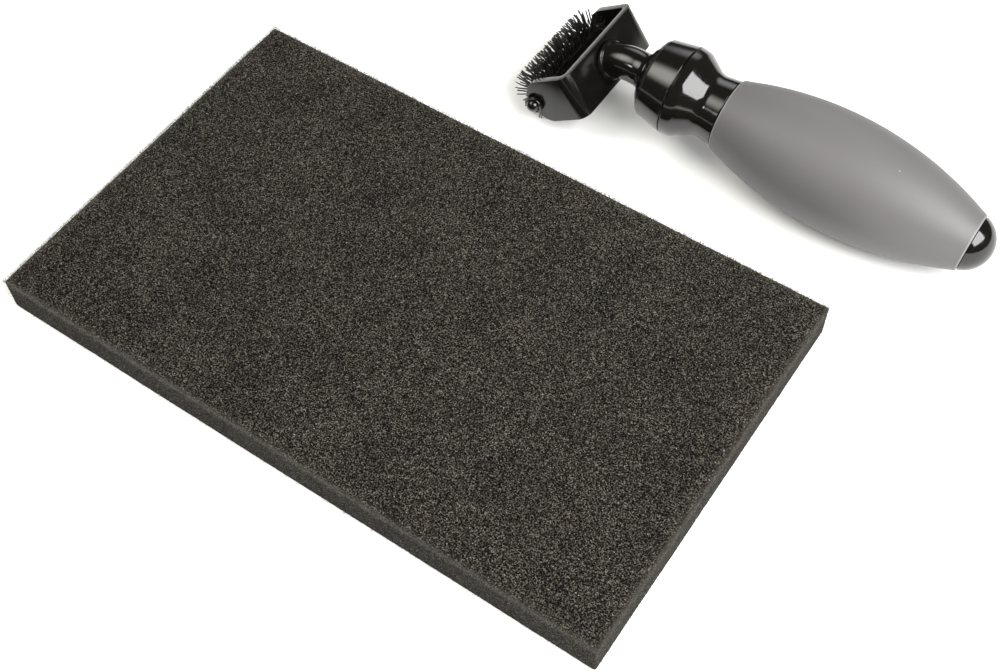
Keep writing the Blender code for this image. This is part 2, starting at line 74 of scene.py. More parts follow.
bl_info = {
    "name": "Die-cleaning brush set",
    "version": (1, 0, 0),
    "blender": (4, 5, 0),
    "location": "View3D > Sidebar > Brush set",
    "description": "Builds the roller brush, its foam pad and a plain studio round the CAD frame",
    "category": "Object",
}

MM = 0.001
JOINTS = {joint["name"]: joint for joint in frame["joints"]}

# ---- sizes of the brush, as the CAD frame has them ---------------------------------------------

FIT_GAP = 0.3 * MM
BELLY_RADIUS = 20.15 * MM
BELLY_X = -60.4 * MM
GRIP_REAR_RADIUS = 10.06 * MM
STEM_RADIUS = 7.5 * MM
WAIST_RADIUS = 11.2 * MM
WAIST_X = -10.5 * MM
FLARE_RADIUS = 16.25 * MM
FLARE_SLOPE_X = -3.4 * MM
FLARE_BAND_TAPER = 0.5 * MM
THREAD_RADIUS = 11.0 * MM
THREAD_PITCH = 1.5 * MM
SPIGOT_FRONT = 9.5 * MM
CAVITY_RADIUS = 8.8 * MM
CAVITY_DEPTH = 8.3 * MM
CAP_PLUG_RADIUS = 3.2 * MM
CAP_PLUG_LENGTH = 10.0 * MM
COLLAR_NOSE_LENGTH = 2.8 * MM
COLLAR_TAPER = 2.0 * MM
COLLAR_FACE_RADIUS = 10.4 * MM
COLLAR_SEAT_X = 11.1 * MM
COLLAR_MOUTH_RADIUS = 8.0 * MM
COLLAR_WALL_AT_MOUTH = 1.4 * MM
SHOULDER_X = 13.0 * MM
SHOULDER_RADIUS = 7.4 * MM
SHOULDER_LENGTH = 3.0 * MM
SHANK_ACROSS_FLATS = 8.0 * MM
SHANK_DEPTH = 5.5 * MM
NECK_RADIUS = 6.2 * MM
NECK_BEND_X = 18.7 * MM
NECK_BEND_RADIUS = 16.6 * MM
NECK_BEND_ANGLE = radians(38.5)
FLANGE_RADIUS = 7.1 * MM
FLANGE_THICKNESS = 1.2 * MM
SCREW_RADIUS = 1.5 * MM
SCREW_GRIP = 7.0 * MM
SHEET = 2.6 * MM
BRACKET_WIDTH = 45.2 * MM
BRACKET_HEIGHT = 17.0 * MM
BRACKET_DEPTH = 23.0 * MM
SHEET_BEND_RADIUS = 4.2 * MM
ARM_CORNER_CUT = 5.2 * MM
AXLE_SETBACK = 20.3 * MM
AXLE_RADIUS = 1.5 * MM
AXLE_FLANGE_RADIUS = 3.5 * MM
AXLE_FLANGE_THICKNESS = 1.3 * MM
AXLE_DOME_RADIUS = 2.4 * MM
AXLE_DOME_HEIGHT = 2.0 * MM
ROLLER_RADIUS = 4.0 * MM
BRISTLE_TIP_RADIUS = 11.5 * MM
BRISTLE_ROWS = 16

ROUND_SIDES = 128
SMALL_SIDES = 48


def colour(code):
    """An sRGB hex colour, such as 8C8A88, as linear red, green, blue and alpha."""
    parts = [int(code[start : start + 2], 16) / 255 for start in (0, 2, 4)]
    return [p / 12.92 if p <= 0.04045 else ((p + 0.055) / 1.055) ** 2.4 for p in parts] + [1.0]


# ---- settings ----------------------------------------------------------------------------------


class FoamSettings(bpy.types.PropertyGroup):
    """Cells and colours of the foam pad."""

    cell_size: bpy.props.FloatProperty(
        name="Cell size", description="Distance from one open cell to the next",
        default=0.85 * MM, min=0.5 * MM, max=5.0 * MM, unit="LENGTH", precision=5,
    )
    grain: bpy.props.FloatProperty(
        name="Surface grain", description="Size of the faces that the slab's skin is made of",
        default=0.5 * MM, min=0.3 * MM, max=3.0 * MM, unit="LENGTH", precision=5,
    )
    pore_depth: bpy.props.FloatProperty(
        name="Cell depth", description="How far the open cells sink below the sawn face",
        default=0.35 * MM, min=0.0, max=2.0 * MM, unit="LENGTH", precision=5,
    )
    cut_ends: bpy.props.IntProperty(
        name="Cut strut ends", description="Loose strut ends left along the slab's edges",
        default=14000, min=0,
    )
    strut_colour: bpy.props.FloatVectorProperty(
        name="Struts", description="Colour of the struts between cells on the open faces",
        subtype="COLOR", size=4, default=colour("79746A"),
    )
    # painted shade: the colour of the cells is darkened to stand for the shade down inside them
    cell_shade_colour: bpy.props.FloatVectorProperty(
        name="Cells", description="Colour seen down inside the open cells",
        subtype="COLOR", size=4, default=colour("040303"),
    )
    side_strut_colour: bpy.props.FloatVectorProperty(
        name="Side struts", description="Colour of the struts on the closed-up sawn sides",
        subtype="COLOR", size=4, default=colour("6D6A65"),
    )
    # painted shade: the sawn sides' half-closed cells get a paler painted shade
    side_cell_shade_colour: bpy.props.FloatVectorProperty(
        name="Side cells", description="Colour inside the cells of the sawn sides",
        subtype="COLOR", size=4, default=colour("1F1D1A"),
    )


class HandleSettings(bpy.types.PropertyGroup):
    """Finish of the rubber grip and the glossy mouldings."""

    rubber_colour: bpy.props.FloatVectorProperty(
        name="Grip", description="Colour of the rubber barrel",
        subtype="COLOR", size=4, default=colour("5B5959"),
    )
    rubber_roughness: bpy.props.FloatProperty(
        name="Grip roughness", description="Roughness of the rubber barrel",
        subtype="FACTOR", default=0.52, min=0.0, max=1.0,
    )
    gloss_colour: bpy.props.FloatVectorProperty(
        name="Mouldings", description="Colour of the glossy mouldings",
        subtype="COLOR", size=4, default=colour("0A0907"),
    )
    gloss_roughness: bpy.props.FloatProperty(
        name="Mouldings roughness", description="Roughness of the glossy mouldings",
        subtype="FACTOR", default=0.09, min=0.0, max=1.0,
    )


class RollerSettings(bpy.types.PropertyGroup):
    """Bristles of the roller."""

    tufts: bpy.props.IntProperty(
        name="Tufts in a row", description="How many tufts stand in each row", default=20, min=2,
    )
    filaments: bpy.props.IntProperty(
        name="Filaments in a tuft", description="How many filaments each tuft has",
        default=2, min=1, max=12,
    )
    filament_radius: bpy.props.FloatProperty(
        name="Filament radius", description="Radius of a filament at its root",
        default=0.26 * MM, min=0.05 * MM, max=1.0 * MM, unit="LENGTH", precision=5,
    )
    splay: bpy.props.FloatProperty(
        name="Splay", description="How far the filaments of a tuft lean apart",
        subtype="ANGLE", default=radians(7.0), min=0.0, max=radians(30.0),
    )
    bristle_colour: bpy.props.FloatVectorProperty(
        name="Bristles", description="Colour of the nylon filaments",
        subtype="COLOR", size=4, default=colour("080706"),
    )


class BracketSettings(bpy.types.PropertyGroup):
    """Finish of the bent sheet bracket."""

    lacquer_colour: bpy.props.FloatVectorProperty(
        name="Lacquer", description="Colour of the bracket's lacquer",
        subtype="COLOR", size=4, default=colour("0D0C0B"),
    )
    lacquer_roughness: bpy.props.FloatProperty(
        name="Lacquer roughness", description="Roughness of the bracket's lacquer",
        subtype="FACTOR", default=0.16, min=0.0, max=1.0,
    )


class StudioSettings(bpy.types.PropertyGroup):
    """Camera and lights."""

    camera_place: bpy.props.FloatVectorProperty(
        name="Camera", description="Where the camera stands",
        subtype="TRANSLATION", size=3, default=(0.1803, -0.2039, 0.3923),
    )
    lens: bpy.props.FloatProperty(
        name="Lens", description="Focal length on a 36 mm sensor, in millimetres",
        default=51.95, min=10.0, max=300.0,
    )
    camera_elevation: bpy.props.FloatProperty(
        name="Camera elevation", description="How far down the camera looks",
        subtype="ANGLE", default=radians(56.178),
    )
    camera_azimuth: bpy.props.FloatProperty(
        name="Camera azimuth", description="Turn of the camera from the pad's long side",
        subtype="ANGLE", default=radians(35.584),
    )
    camera_roll: bpy.props.FloatProperty(
        name="Camera roll", description="Turn of the camera about its own line of sight",
        subtype="ANGLE", default=radians(-1.579),
    )
    floor_colour: bpy.props.FloatVectorProperty(
        name="Floor", description="Colour of the floor",
        subtype="COLOR", size=4, default=colour("F3F3F1"),
    )


# ---- places ------------------------------------------------------------------------------------


def placed(along, across, origin):
    """Matrix of a frame from its X axis, its Y axis and its origin."""
    up = along.cross(across).normalized()
    matrix = Matrix((along, across, up)).transposed().to_4x4()
    matrix.translation = origin
    return matrix


def brush_place():
    """The brush's own frame, from the collar's and the roller's joints."""
    along = Vector(JOINTS["collar_turn"]["axis"]).normalized()
    across = Vector(JOINTS["roller_spin"]["axis"]).normalized()
    return placed(along, across, Vector(JOINTS["collar_turn"]["pos_m"]))


def head_place():
    """The bracket's frame: X along its arms, the origin in the middle of its back face."""
    brush = brush_place().to_3x3()
    across = brush.col[1].copy()
    along = Matrix.Rotation(NECK_BEND_ANGLE, 3, across) @ brush.col[0]
    origin = Vector(JOINTS["roller_spin"]["pos_m"]) - along * AXLE_SETBACK
    return placed(along, across, origin)


def axle_place():
    """The axle's frame: X along the axle toward the pad, Z as in the bracket's frame."""
    head = head_place().to_3x3()
    return placed(head.col[1].copy(), -head.col[0], Vector(JOINTS["roller_spin"]["pos_m"]))


def reach_of(node, place):
    """Lowest and highest X of a CAD node in a frame, and its largest distance from that X axis."""
    back = place.inverted()
    points = np.array([back @ v.co for v in frame["nodes"][node].data.vertices])
    radius = np.hypot(points[:, 1], points[:, 2]).max()
    return float(points[:, 0].min()), float(points[:, 0].max()), float(radius)


# ---- modelling helpers -------------------------------------------------------------------------


def start_clear():
    """Leave edit mode and deselect everything, so that an operator acts on nothing else."""
    if bpy.context.object and bpy.context.object.mode != "OBJECT":
        bpy.ops.object.mode_set(mode="OBJECT")
    bpy.ops.object.select_all(action="DESELECT")


def take_up(piece):
    """Make a piece the only selected one, and the active one."""
    start_clear()
    piece.select_set(True)
    bpy.context.view_layer.objects.active = piece


def outline_through(corners):
    """Points of an outline through corners (along, out, fillet), each fillet an arc."""
    points = []
    for index, (along, out, fillet) in enumerate(corners):
        here = Vector((along, out))
        if fillet == 0.0:
            points.append(here)
            continue
        back = (Vector(corners[index - 1][:2]) - here).normalized()
        ahead = (Vector(corners[(index + 1) % len(corners)][:2]) - here).normalized()
        half = back.angle(ahead) / 2.0
        centre = here + (back + ahead).normalized() * (fillet / sin(half))
        start = here + back * (fillet / tan(half)) - centre
        end = here + ahead * (fillet / tan(half)) - centre
        turn = atan2(start.x * end.y - start.y * end.x, start.dot(end))
        steps = max(2, ceil(abs(turn) / radians(9.0)))
        for step in range(steps + 1):
            points.append(centre + Matrix.Rotation(turn * step / steps, 2) @ start)
    return points


def draw_line(points):
    """Draw an open line of (along, out) points in the XZ plane, left in edit mode."""
    start_clear()
    first = points[0]
    bpy.ops.mesh.primitive_plane_add(size=MM, location=(first[0], 0.0, first[1]))
    bpy.ops.object.mode_set(mode="EDIT")
    bpy.ops.mesh.select_mode(type="VERT")
    bpy.ops.mesh.select_all(action="SELECT")
    bpy.ops.mesh.merge(type="CENTER")
    for here, ahead in zip(points, points[1:]):
        step = (ahead[0] - here[0], 0.0, ahead[1] - here[1])
        bpy.ops.mesh.extrude_vertices_move(TRANSFORM_OT_translate={"value": step})
    bpy.ops.mesh.select_all(action="SELECT")


def close_up():
    """Merge doubles, turn the faces outward and leave edit mode."""
    bpy.ops.mesh.select_all(action="SELECT")
    bpy.ops.mesh.remove_doubles(threshold=1e-6)
    bpy.ops.mesh.normals_make_consistent(inside=False)
    bpy.ops.object.mode_set(mode="OBJECT")
    bpy.ops.object.transform_apply(location=True, rotation=True, scale=True)
    return bpy.context.object


def lathe(name, points, sides=ROUND_SIDES, ring=False):
    """Turn an outline once about the X axis.

    An open outline starts and ends on the axis; a ring's outline is drawn back to its start.
    """
    draw_line(list(points) + [points[0]] if ring else points)
    bpy.ops.mesh.spin(steps=sides, angle=2.0 * pi, center=(0, 0, 0), axis=(1, 0, 0))
    piece = close_up()
    piece.name = name
    return piece


def select_where(piece, kind, test):
    """In edit mode, select only the faces or edges whose middle and normal pass a test."""
    bpy.ops.mesh.select_mode(type=kind)
    bpy.ops.mesh.select_all(action="DESELECT")
    bpy.ops.object.mode_set(mode="OBJECT")
    mesh = piece.data
    if kind == "FACE":
        for face in mesh.polygons:
            face.select = test(face.center, face.normal)
    else:
        for edge in mesh.edges:
            ends = [mesh.vertices[index].co for index in edge.vertices]
            edge.select = test((ends[0] + ends[1]) / 2.0, (ends[1] - ends[0]).normalized())
    bpy.ops.object.mode_set(mode="EDIT")


def modify(piece, kind, **settings):
    """Add a modifier to a piece and apply it at once."""
    take_up(piece)
    added = piece.modifiers.new(kind.lower(), kind)
    for name, value in settings.items():
        setattr(added, name, value)
    bpy.ops.object.modifier_apply(modifier=added.name)


def cut_or_join(piece, tool, operation):
    """Boolean a piece with a tool, which is then thrown away."""
    modify(piece, "BOOLEAN", object=tool, operation=operation, solver="EXACT")
    bpy.data.objects.remove(tool, do_unlink=True)


def rod_along(radius, start, end, axis="X", sides=SMALL_SIDES):
    """A rod from start to end along X or Y through the origin, used for cutting or joining."""
    start_clear()
    middle = (start + end) / 2.0
    turned = (0.0, pi / 2.0, 0.0) if axis == "X" else (pi / 2.0, 0.0, 0.0)
    place = (middle, 0.0, 0.0) if axis == "X" else (0.0, middle, 0.0)
    bpy.ops.mesh.primitive_cylinder_add(
        vertices=sides, radius=radius, depth=abs(end - start), location=place, rotation=turned
    )
    bpy.ops.object.transform_apply(location=True, rotation=True, scale=True)
    return bpy.context.object


def settle(piece, place, body, material, replaced=(), smooth_angle=35.0):
    """Move a finished piece into the shared frame, shade it, and hand it to its body."""
    take_up(piece)
    piece.matrix_world = place
    bpy.ops.object.transform_apply(location=True, rotation=True, scale=True)
    bpy.ops.object.shade_smooth_by_angle(angle=radians(smooth_angle))
    piece.data.name = piece.name
    piece.data.materials.clear()
    piece.data.materials.append(material)
    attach(piece, body)
    if replaced:
        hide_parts(*replaced)
    return piece


def mesh_piece(name, points, faces):
    """An object from arrays of points and faces."""
    mesh = bpy.data.meshes.new(name)
    mesh.from_pydata(points.tolist(), [], faces.tolist())
    mesh.update()
    piece = bpy.data.objects.new(name, mesh)
    bpy.context.collection.objects.link(piece)
    return piece


# ---- node helper -------------------------------------------------------------------------------


def add_node(tree, kind, settings=None, links=None):
    """Add a node, give its properties and inputs their values, and plug in its links."""
    made = tree.nodes.new(kind)
    for name, value in (settings or {}).items():
        if isinstance(name, str) and hasattr(made, name):
            setattr(made, name, value)
        else:
            made.inputs[name].default_value = value
    for name, source in (links or {}).items():
        tree.links.new(source, made.inputs[name])
    return made


def new_material(name, **values):
    """A material with a plain shader whose sockets have the given values."""
    made = bpy.data.materials.get(name)
    if made:
        return made, None, None
    made = bpy.data.materials.new(name)
    made.use_nodes = True
    shader = made.node_tree.nodes["Principled BSDF"]
    for socket, value in values.items():
        shader.inputs[socket.replace("_", " ")].default_value = value
    return made, made.node_tree, shader


# ---- materials ---------------------------------------------------------------------------------


def open_cell_foam(settings):
    """Polyurethane foam with open cells, sawn to size.

    Matt struts stand round cells painted dark for the shade inside them; on the sawn sides the
    blade has half closed the cells, so their painted shade is paler; a few struts get painted
    highlights as bright specks.
    """
    made, tree, shader = new_material("polyurethane_foam_sawn", Roughness=0.9)
    if tree is None:
        return made
    shader.inputs["Specular IOR Level"].default_value = 0.05
    place = add_node(
        tree, "ShaderNodeAttribute", {"attribute_name": "uncut_place"}
    ).outputs["Vector"]
    side = add_node(tree, "ShaderNodeAttribute", {"attribute_name": "sawn_side"}).outputs["Fac"]
    frayed = add_node(tree, "ShaderNodeAttribute", {"attribute_name": "frayed_edge"}).outputs["Fac"]

    # the cells, and a second set of about half their size that shows through from below
    edges = add_node(
        tree, "ShaderNodeTexVoronoi",
        {"feature": "DISTANCE_TO_EDGE", "Scale": 1.0 / settings.cell_size}, {"Vector": place},
    ).outputs["Distance"]
    struts = add_node(
        tree, "ShaderNodeMapRange",
        {"interpolation_type": "SMOOTHSTEP", "From Min": 0.03, "From Max": 0.30, "To Min": 1.0,
         "To Max": 0.0}, {"Value": edges},
    ).outputs["Result"]
    under = add_node(
        tree, "ShaderNodeTexVoronoi", {"Scale": 1.9 / settings.cell_size}, {"Vector": place},
    )
    deep = add_node(
        tree, "ShaderNodeMapRange", {"From Min": 0.1, "From Max": 0.75},
        {"Value": under.outputs["Distance"]},
    ).outputs["Result"]
    cells = add_node(
        tree, "ShaderNodeMix", {"data_type": "FLOAT", 0: 0.4}, {2: struts, 3: deep}
    ).outputs[0]
    # painted shading: each strut end is cut at its own angle, so each is painted a tone of its own for
    # the light it catches; 0.34 mm across
    ends = add_node(
        tree, "ShaderNodeTexVoronoi", {"Scale": 2.5 / settings.cell_size}, {"Vector": place},
    )
    facet_shade_tone = add_node(
        tree, "ShaderNodeSeparateColor", {}, {"Color": ends.outputs["Color"]}
    ).outputs[0]
    both = add_node(
        tree, "ShaderNodeMix", {"data_type": "FLOAT", 0: 0.55}, {2: cells, 3: facet_shade_tone}
    ).outputs[0]

    # slow drifts of tone, about 18 mm across, as the block's density varies
    drift = add_node(
        tree, "ShaderNodeTexNoise", {"Scale": 55.0, "Detail": 3.0}, {"Vector": place}
    ).outputs["Fac"]
    toned = add_node(
        tree, "ShaderNodeMath", {"operation": "MULTIPLY_ADD", 1: 0.14, 2: -0.12}, {0: drift}
    ).outputs[0]
    summed = add_node(tree, "ShaderNodeMath", {"operation": "ADD"}, {0: both, 1: toned}).outputs[0]
    height = add_node(
        tree, "ShaderNodeMath", {"operation": "POWER", 1: 4.2, "use_clamp": True}, {0: summed}
    ).outputs[0]

    # painted shade: where the height is low, the colour goes to the dark cell colour, for the shade down
    # in the cells
    open_face = add_node(
        tree, "ShaderNodeMix",
        {"data_type": "RGBA", 6: settings.cell_shade_colour, 7: settings.strut_colour}, {0: height},
    ).outputs[2]
    sawn_face = add_node(
        tree, "ShaderNodeMix",
        {"data_type": "RGBA", 6: settings.side_cell_shade_colour, 7: settings.side_strut_colour},
        {0: height},
    ).outputs[2]
    faces = add_node(
        tree, "ShaderNodeMix", {"data_type": "RGBA"}, {0: side, 6: open_face, 7: sawn_face}
    ).outputs[2]
    worn = add_node(
        tree, "ShaderNodeMix", {"data_type": "RGBA", 7: colour("59554E")}, {0: frayed, 6: faces}
    ).outputs[2]

    # painted highlight: one strut in ten, of those 1.2 mm apart, is painted pale as a glint of light
    specks = add_node(
        tree, "ShaderNodeTexVoronoi", {"Scale": 0.7 / settings.cell_size}, {"Vector": place}
    )
    chosen = add_node(
        tree, "ShaderNodeMath", {"operation": "GREATER_THAN", 1: 0.9},
        {0: add_node(tree, "ShaderNodeSeparateColor", {}, {"Color": specks.outputs["Color"]}).outputs[0]},
    ).outputs[0]
    near = add_node(
        tree, "ShaderNodeMath", {"operation": "LESS_THAN", 1: 0.13}, {0: specks.outputs["Distance"]}
    ).outputs[0]
    painted_glint = add_node(
        tree, "ShaderNodeMath", {"operation": "MULTIPLY"}, {0: chosen, 1: near}
    ).outputs[0]
    finished = add_node(
        tree, "ShaderNodeMix", {"data_type": "RGBA", 7: colour("8A867F")}, {0: painted_glint, 6: worn}
    ).outputs[2]
    tree.links.new(finished, shader.inputs["Base Color"])

    relief = add_node(
        tree, "ShaderNodeBump", {"Strength": 0.7, "Distance": 0.25 * MM}, {"Height": both}
    ).outputs["Normal"]
    tree.links.new(relief, shader.inputs["Normal"])
    return made


def foam_strut_ends():
    """Cut ends of polyurethane struts: thin and matt, from dark to middling grey."""
    made, tree, shader = new_material("polyurethane_foam_cut_ends", Roughness=0.85)
    if tree is None:
        return made
    place = add_node(tree, "ShaderNodeTexCoord").outputs["Object"]
    patches = add_node(
        tree, "ShaderNodeTexNoise", {"Scale": 400.0, "Detail": 1.0}, {"Vector": place}
    ).outputs["Fac"]
    tones = add_node(
        tree, "ShaderNodeMix", {"data_type": "RGBA", 6: colour("2C2A25"), 7: colour("6C6860")},
        {0: patches},
    ).outputs[2]
    tree.links.new(tones, shader.inputs["Base Color"])
    return made


def moulded_rubber(settings):
    """Thermoplastic rubber, moulded in a blasted mould.

    It gives a soft matt sheen with broad highlights, faint flow marks, fine grain and a few
    specks of dust; the beads at both ends get a painted highlight.
    """
    made, tree, shader = new_material(
        "thermoplastic_rubber_moulded", Roughness=settings.rubber_roughness, IOR=1.5
    )
    if tree is None:
        return made
    place = add_node(tree, "ShaderNodeTexCoord").outputs["Object"]
    flow = add_node(
        tree, "ShaderNodeTexNoise", {"Scale": 38.0, "Detail": 4.0, "Roughness": 0.55},
        {"Vector": place},
    ).outputs["Fac"]
    base = settings.rubber_colour
    dark = [part * 0.93 for part in base[:3]] + [1.0]
    light = [part * 1.06 for part in base[:3]] + [1.0]
    tones = add_node(
        tree, "ShaderNodeMix", {"data_type": "RGBA", 6: dark, 7: light}, {0: flow}
    ).outputs[2]
    # rare specks of dust, up to 0.75 mm across and faded at the rim
    specks = add_node(tree, "ShaderNodeTexVoronoi", {"Scale": 160.0}, {"Vector": place})
    rare = add_node(
        tree, "ShaderNodeMath", {"operation": "GREATER_THAN", 1: 0.93},
        {0: add_node(tree, "ShaderNodeSeparateColor", {}, {"Color": specks.outputs["Color"]}).outputs[1]},
    ).outputs[0]
    spot = add_node(
        tree, "ShaderNodeMapRange",
        {"From Min": 0.02, "From Max": 0.06, "To Min": 0.35, "To Max": 0.0},
        {"Value": specks.outputs["Distance"]},
    ).outputs["Result"]
    dust = add_node(tree, "ShaderNodeMath", {"operation": "MULTIPLY"}, {0: rare, 1: spot}).outputs[0]
    dusty = add_node(
        tree, "ShaderNodeMix", {"data_type": "RGBA", 7: colour("C9C7C4")}, {0: dust, 6: tones}
    ).outputs[2]
    # painted highlight: the beads at both ends are painted pale, where their rounded edges catch the
    # light
    edge = add_node(tree, "ShaderNodeAttribute", {"attribute_name": "painted_bead_highlight"}).outputs["Fac"]
    bead_lit = add_node(
        tree, "ShaderNodeMix", {"data_type": "RGBA", 7: colour("7E7C7B")}, {0: edge, 6: dusty}
    ).outputs[2]
    tree.links.new(bead_lit, shader.inputs["Base Color"])
    rough = add_node(
        tree, "ShaderNodeMapRange",
        {"To Min": settings.rubber_roughness - 0.05, "To Max": settings.rubber_roughness + 0.07},
        {"Value": flow},
    ).outputs["Result"]
    tree.links.new(rough, shader.inputs["Roughness"])
    # blasted grain about 0.25 mm across
    grain = add_node(
        tree, "ShaderNodeTexNoise", {"Scale": 3800.0, "Detail": 2.0}, {"Vector": place}
    ).outputs["Fac"]
    relief = add_node(
        tree, "ShaderNodeBump", {"Strength": 0.18, "Distance": 0.05 * MM}, {"Height": grain}
    ).outputs["Normal"]
    tree.links.new(relief, shader.inputs["Normal"])
    return made


def polished_abs(settings):
    """ABS from a polished mould.

    It is nearly black with sharp reflections, which waver a little where the wall has sunk, and
    hairline scratches from handling dull it in places.
    """
    made, tree, shader = new_material(
        "abs_gloss_moulded", Roughness=settings.gloss_roughness, IOR=1.54,
        Base_Color=settings.gloss_colour,
    )
    if tree is None:
        return made
    place = add_node(tree, "ShaderNodeTexCoord").outputs["Object"]
    sink = add_node(
        tree, "ShaderNodeTexNoise", {"Scale": 70.0, "Detail": 1.0}, {"Vector": place}
    ).outputs["Fac"]
    scratch = add_node(
        tree, "ShaderNodeTexNoise", {"Scale": 900.0, "Detail": 5.0, "Roughness": 0.7},
        {"Vector": place},
    ).outputs["Fac"]
    rough = add_node(
        tree, "ShaderNodeMapRange",
        {"From Min": 0.45, "From Max": 0.8, "To Min": settings.gloss_roughness,
         "To Max": settings.gloss_roughness + 0.16}, {"Value": scratch},
    ).outputs["Result"]
    tree.links.new(rough, shader.inputs["Roughness"])
    tones = add_node(
        tree, "ShaderNodeMix",
        {"data_type": "RGBA", 6: settings.gloss_colour, 7: colour("12110E")}, {0: sink},
    ).outputs[2]
    tree.links.new(tones, shader.inputs["Base Color"])
    relief = add_node(
        tree, "ShaderNodeBump", {"Strength": 0.25, "Distance": 0.15 * MM}, {"Height": sink}
    ).outputs["Normal"]
    tree.links.new(relief, shader.inputs["Normal"])
    return made


def lacquered_sheet(settings):
    """Pressed mild steel with a stoved black lacquer.

    The lacquer gives a satin sheen with a fine orange peel; along the pressed edges it has a
    painted highlight, which makes it lighter there.
    """
    made, tree, shader = new_material(
        "mild_steel_black_lacquer", Roughness=settings.lacquer_roughness, IOR=1.52,
        Specular_IOR_Level=0.33, Base_Color=settings.lacquer_colour,
    )
    if tree is None:
        return made
    place = add_node(tree, "ShaderNodeTexCoord").outputs["Object"]
    # orange peel about 0.8 mm across
    peel = add_node(
        tree, "ShaderNodeTexNoise", {"Scale": 1250.0, "Detail": 2.0}, {"Vector": place}
    ).outputs["Fac"]
    cloud = add_node(
        tree, "ShaderNodeTexNoise", {"Scale": 120.0, "Detail": 3.0}, {"Vector": place}
    ).outputs["Fac"]
    rough = add_node(
        tree, "ShaderNodeMapRange",
        {"To Min": settings.lacquer_roughness - 0.05, "To Max": settings.lacquer_roughness + 0.09},
        {"Value": cloud},
    ).outputs["Result"]
    tree.links.new(rough, shader.inputs["Roughness"])
    # painted highlight: the pressed edges, which point up or along the sheet's own plane, are painted
    # lighter
    edge = add_node(tree, "ShaderNodeAttribute", {"attribute_name": "painted_sheet_edge_highlight"}).outputs["Fac"]
    tones = add_node(
        tree, "ShaderNodeMix",
        {"data_type": "RGBA", 6: settings.lacquer_colour, 7: colour("3A3836")}, {0: edge},
    ).outputs[2]
    tree.links.new(tones, shader.inputs["Base Color"])
    relief = add_node(
        tree, "ShaderNodeBump", {"Strength": 0.12, "Distance": 0.05 * MM}, {"Height": peel}
    ).outputs["Normal"]
    tree.links.new(relief, shader.inputs["Normal"])
    return made


def zinc_plate():
    """Zinc-plated steel, turned and barrel-plated: bright, slightly blue, with fine turning lines."""
    made, tree, shader = new_material("zinc_plated_steel", Roughness=0.3, Metallic=1.0)
    if tree is None:
        return made
    place = add_node(tree, "ShaderNodeTexCoord").outputs["Object"]
    spangle = add_node(
        tree, "ShaderNodeTexNoise", {"Scale": 900.0, "Detail": 4.0}, {"Vector": place}
    ).outputs["Fac"]
    tones = add_node(
        tree, "ShaderNodeMix", {"data_type": "RGBA", 6: colour("A9ABAD"), 7: colour("D2D3D2")},
        {0: spangle},
    ).outputs[2]
    tree.links.new(tones, shader.inputs["Base Color"])
    rough = add_node(
        tree, "ShaderNodeMapRange", {"To Min": 0.2, "To Max": 0.42}, {"Value": spangle}
    ).outputs["Result"]
    tree.links.new(rough, shader.inputs["Roughness"])
    relief = add_node(
        tree, "ShaderNodeBump", {"Strength": 0.15, "Distance": 0.02 * MM}, {"Height": spangle}
    ).outputs["Normal"]
    tree.links.new(relief, shader.inputs["Normal"])
    return made


def nylon_filament(settings):
    """Extruded nylon filament: black, with a semi-gloss streak along each filament."""
    made, tree, shader = new_material(
        "nylon_filament_extruded", Roughness=0.4, IOR=1.53, Specular_IOR_Level=0.3,
        Base_Color=settings.bristle_colour,
    )
    if tree is None:
        return made
    place = add_node(tree, "ShaderNodeTexCoord").outputs["Object"]
    lots = add_node(
        tree, "ShaderNodeTexNoise", {"Scale": 650.0, "Detail": 1.0}, {"Vector": place}
    ).outputs["Fac"]
    tones = add_node(
        tree, "ShaderNodeMix",
        {"data_type": "RGBA", 6: settings.bristle_colour, 7: colour("12110F")}, {0: lots},
    ).outputs[2]
    tree.links.new(tones, shader.inputs["Base Color"])
    rough = add_node(
        tree, "ShaderNodeMapRange", {"To Min": 0.34, "To Max": 0.5}, {"Value": lots}
    ).outputs["Result"]
    tree.links.new(rough, shader.inputs["Roughness"])
    return made


def moulded_polypropylene():
    """Polypropylene, moulded and drilled for the tufts: black, waxy and slightly mottled."""
    made, tree, shader = new_material("polypropylene_moulded", Roughness=0.42, IOR=1.49)
    if tree is None:
        return made
    place = add_node(tree, "ShaderNodeTexCoord").outputs["Object"]
    mottle = add_node(
        tree, "ShaderNodeTexNoise", {"Scale": 500.0, "Detail": 3.0}, {"Vector": place}
    ).outputs["Fac"]
    tones = add_node(
        tree, "ShaderNodeMix", {"data_type": "RGBA", 6: colour("0B0B0A"), 7: colour("1C1B19")},
        {0: mottle},
    ).outputs[2]
    tree.links.new(tones, shader.inputs["Base Color"])
    relief = add_node(
        tree, "ShaderNodeBump", {"Strength": 0.2, "Distance": 0.03 * MM}, {"Height": mottle}
    ).outputs["Normal"]
    tree.links.new(relief, shader.inputs["Normal"])
    return made


def matt_paper(floor_colour):
    """Uncoated white card on a studio table: even and matt, with a barely visible fibre."""
    made, tree, shader = new_material("uncoated_card", Roughness=0.85, Base_Color=floor_colour)
    if tree is None:
        return made
    place = add_node(tree, "ShaderNodeTexCoord").outputs["Object"]
    fibre = add_node(
        tree, "ShaderNodeTexNoise", {"Scale": 600.0, "Detail": 2.0}, {"Vector": place}
    ).outputs["Fac"]
    relief = add_node(
        tree, "ShaderNodeBump", {"Strength": 0.05, "Distance": 0.05 * MM}, {"Height": fibre}
    ).outputs["Normal"]
    tree.links.new(relief, shader.inputs["Normal"])
    return made


# ---- foam pad ----------------------------------------------------------------------------------


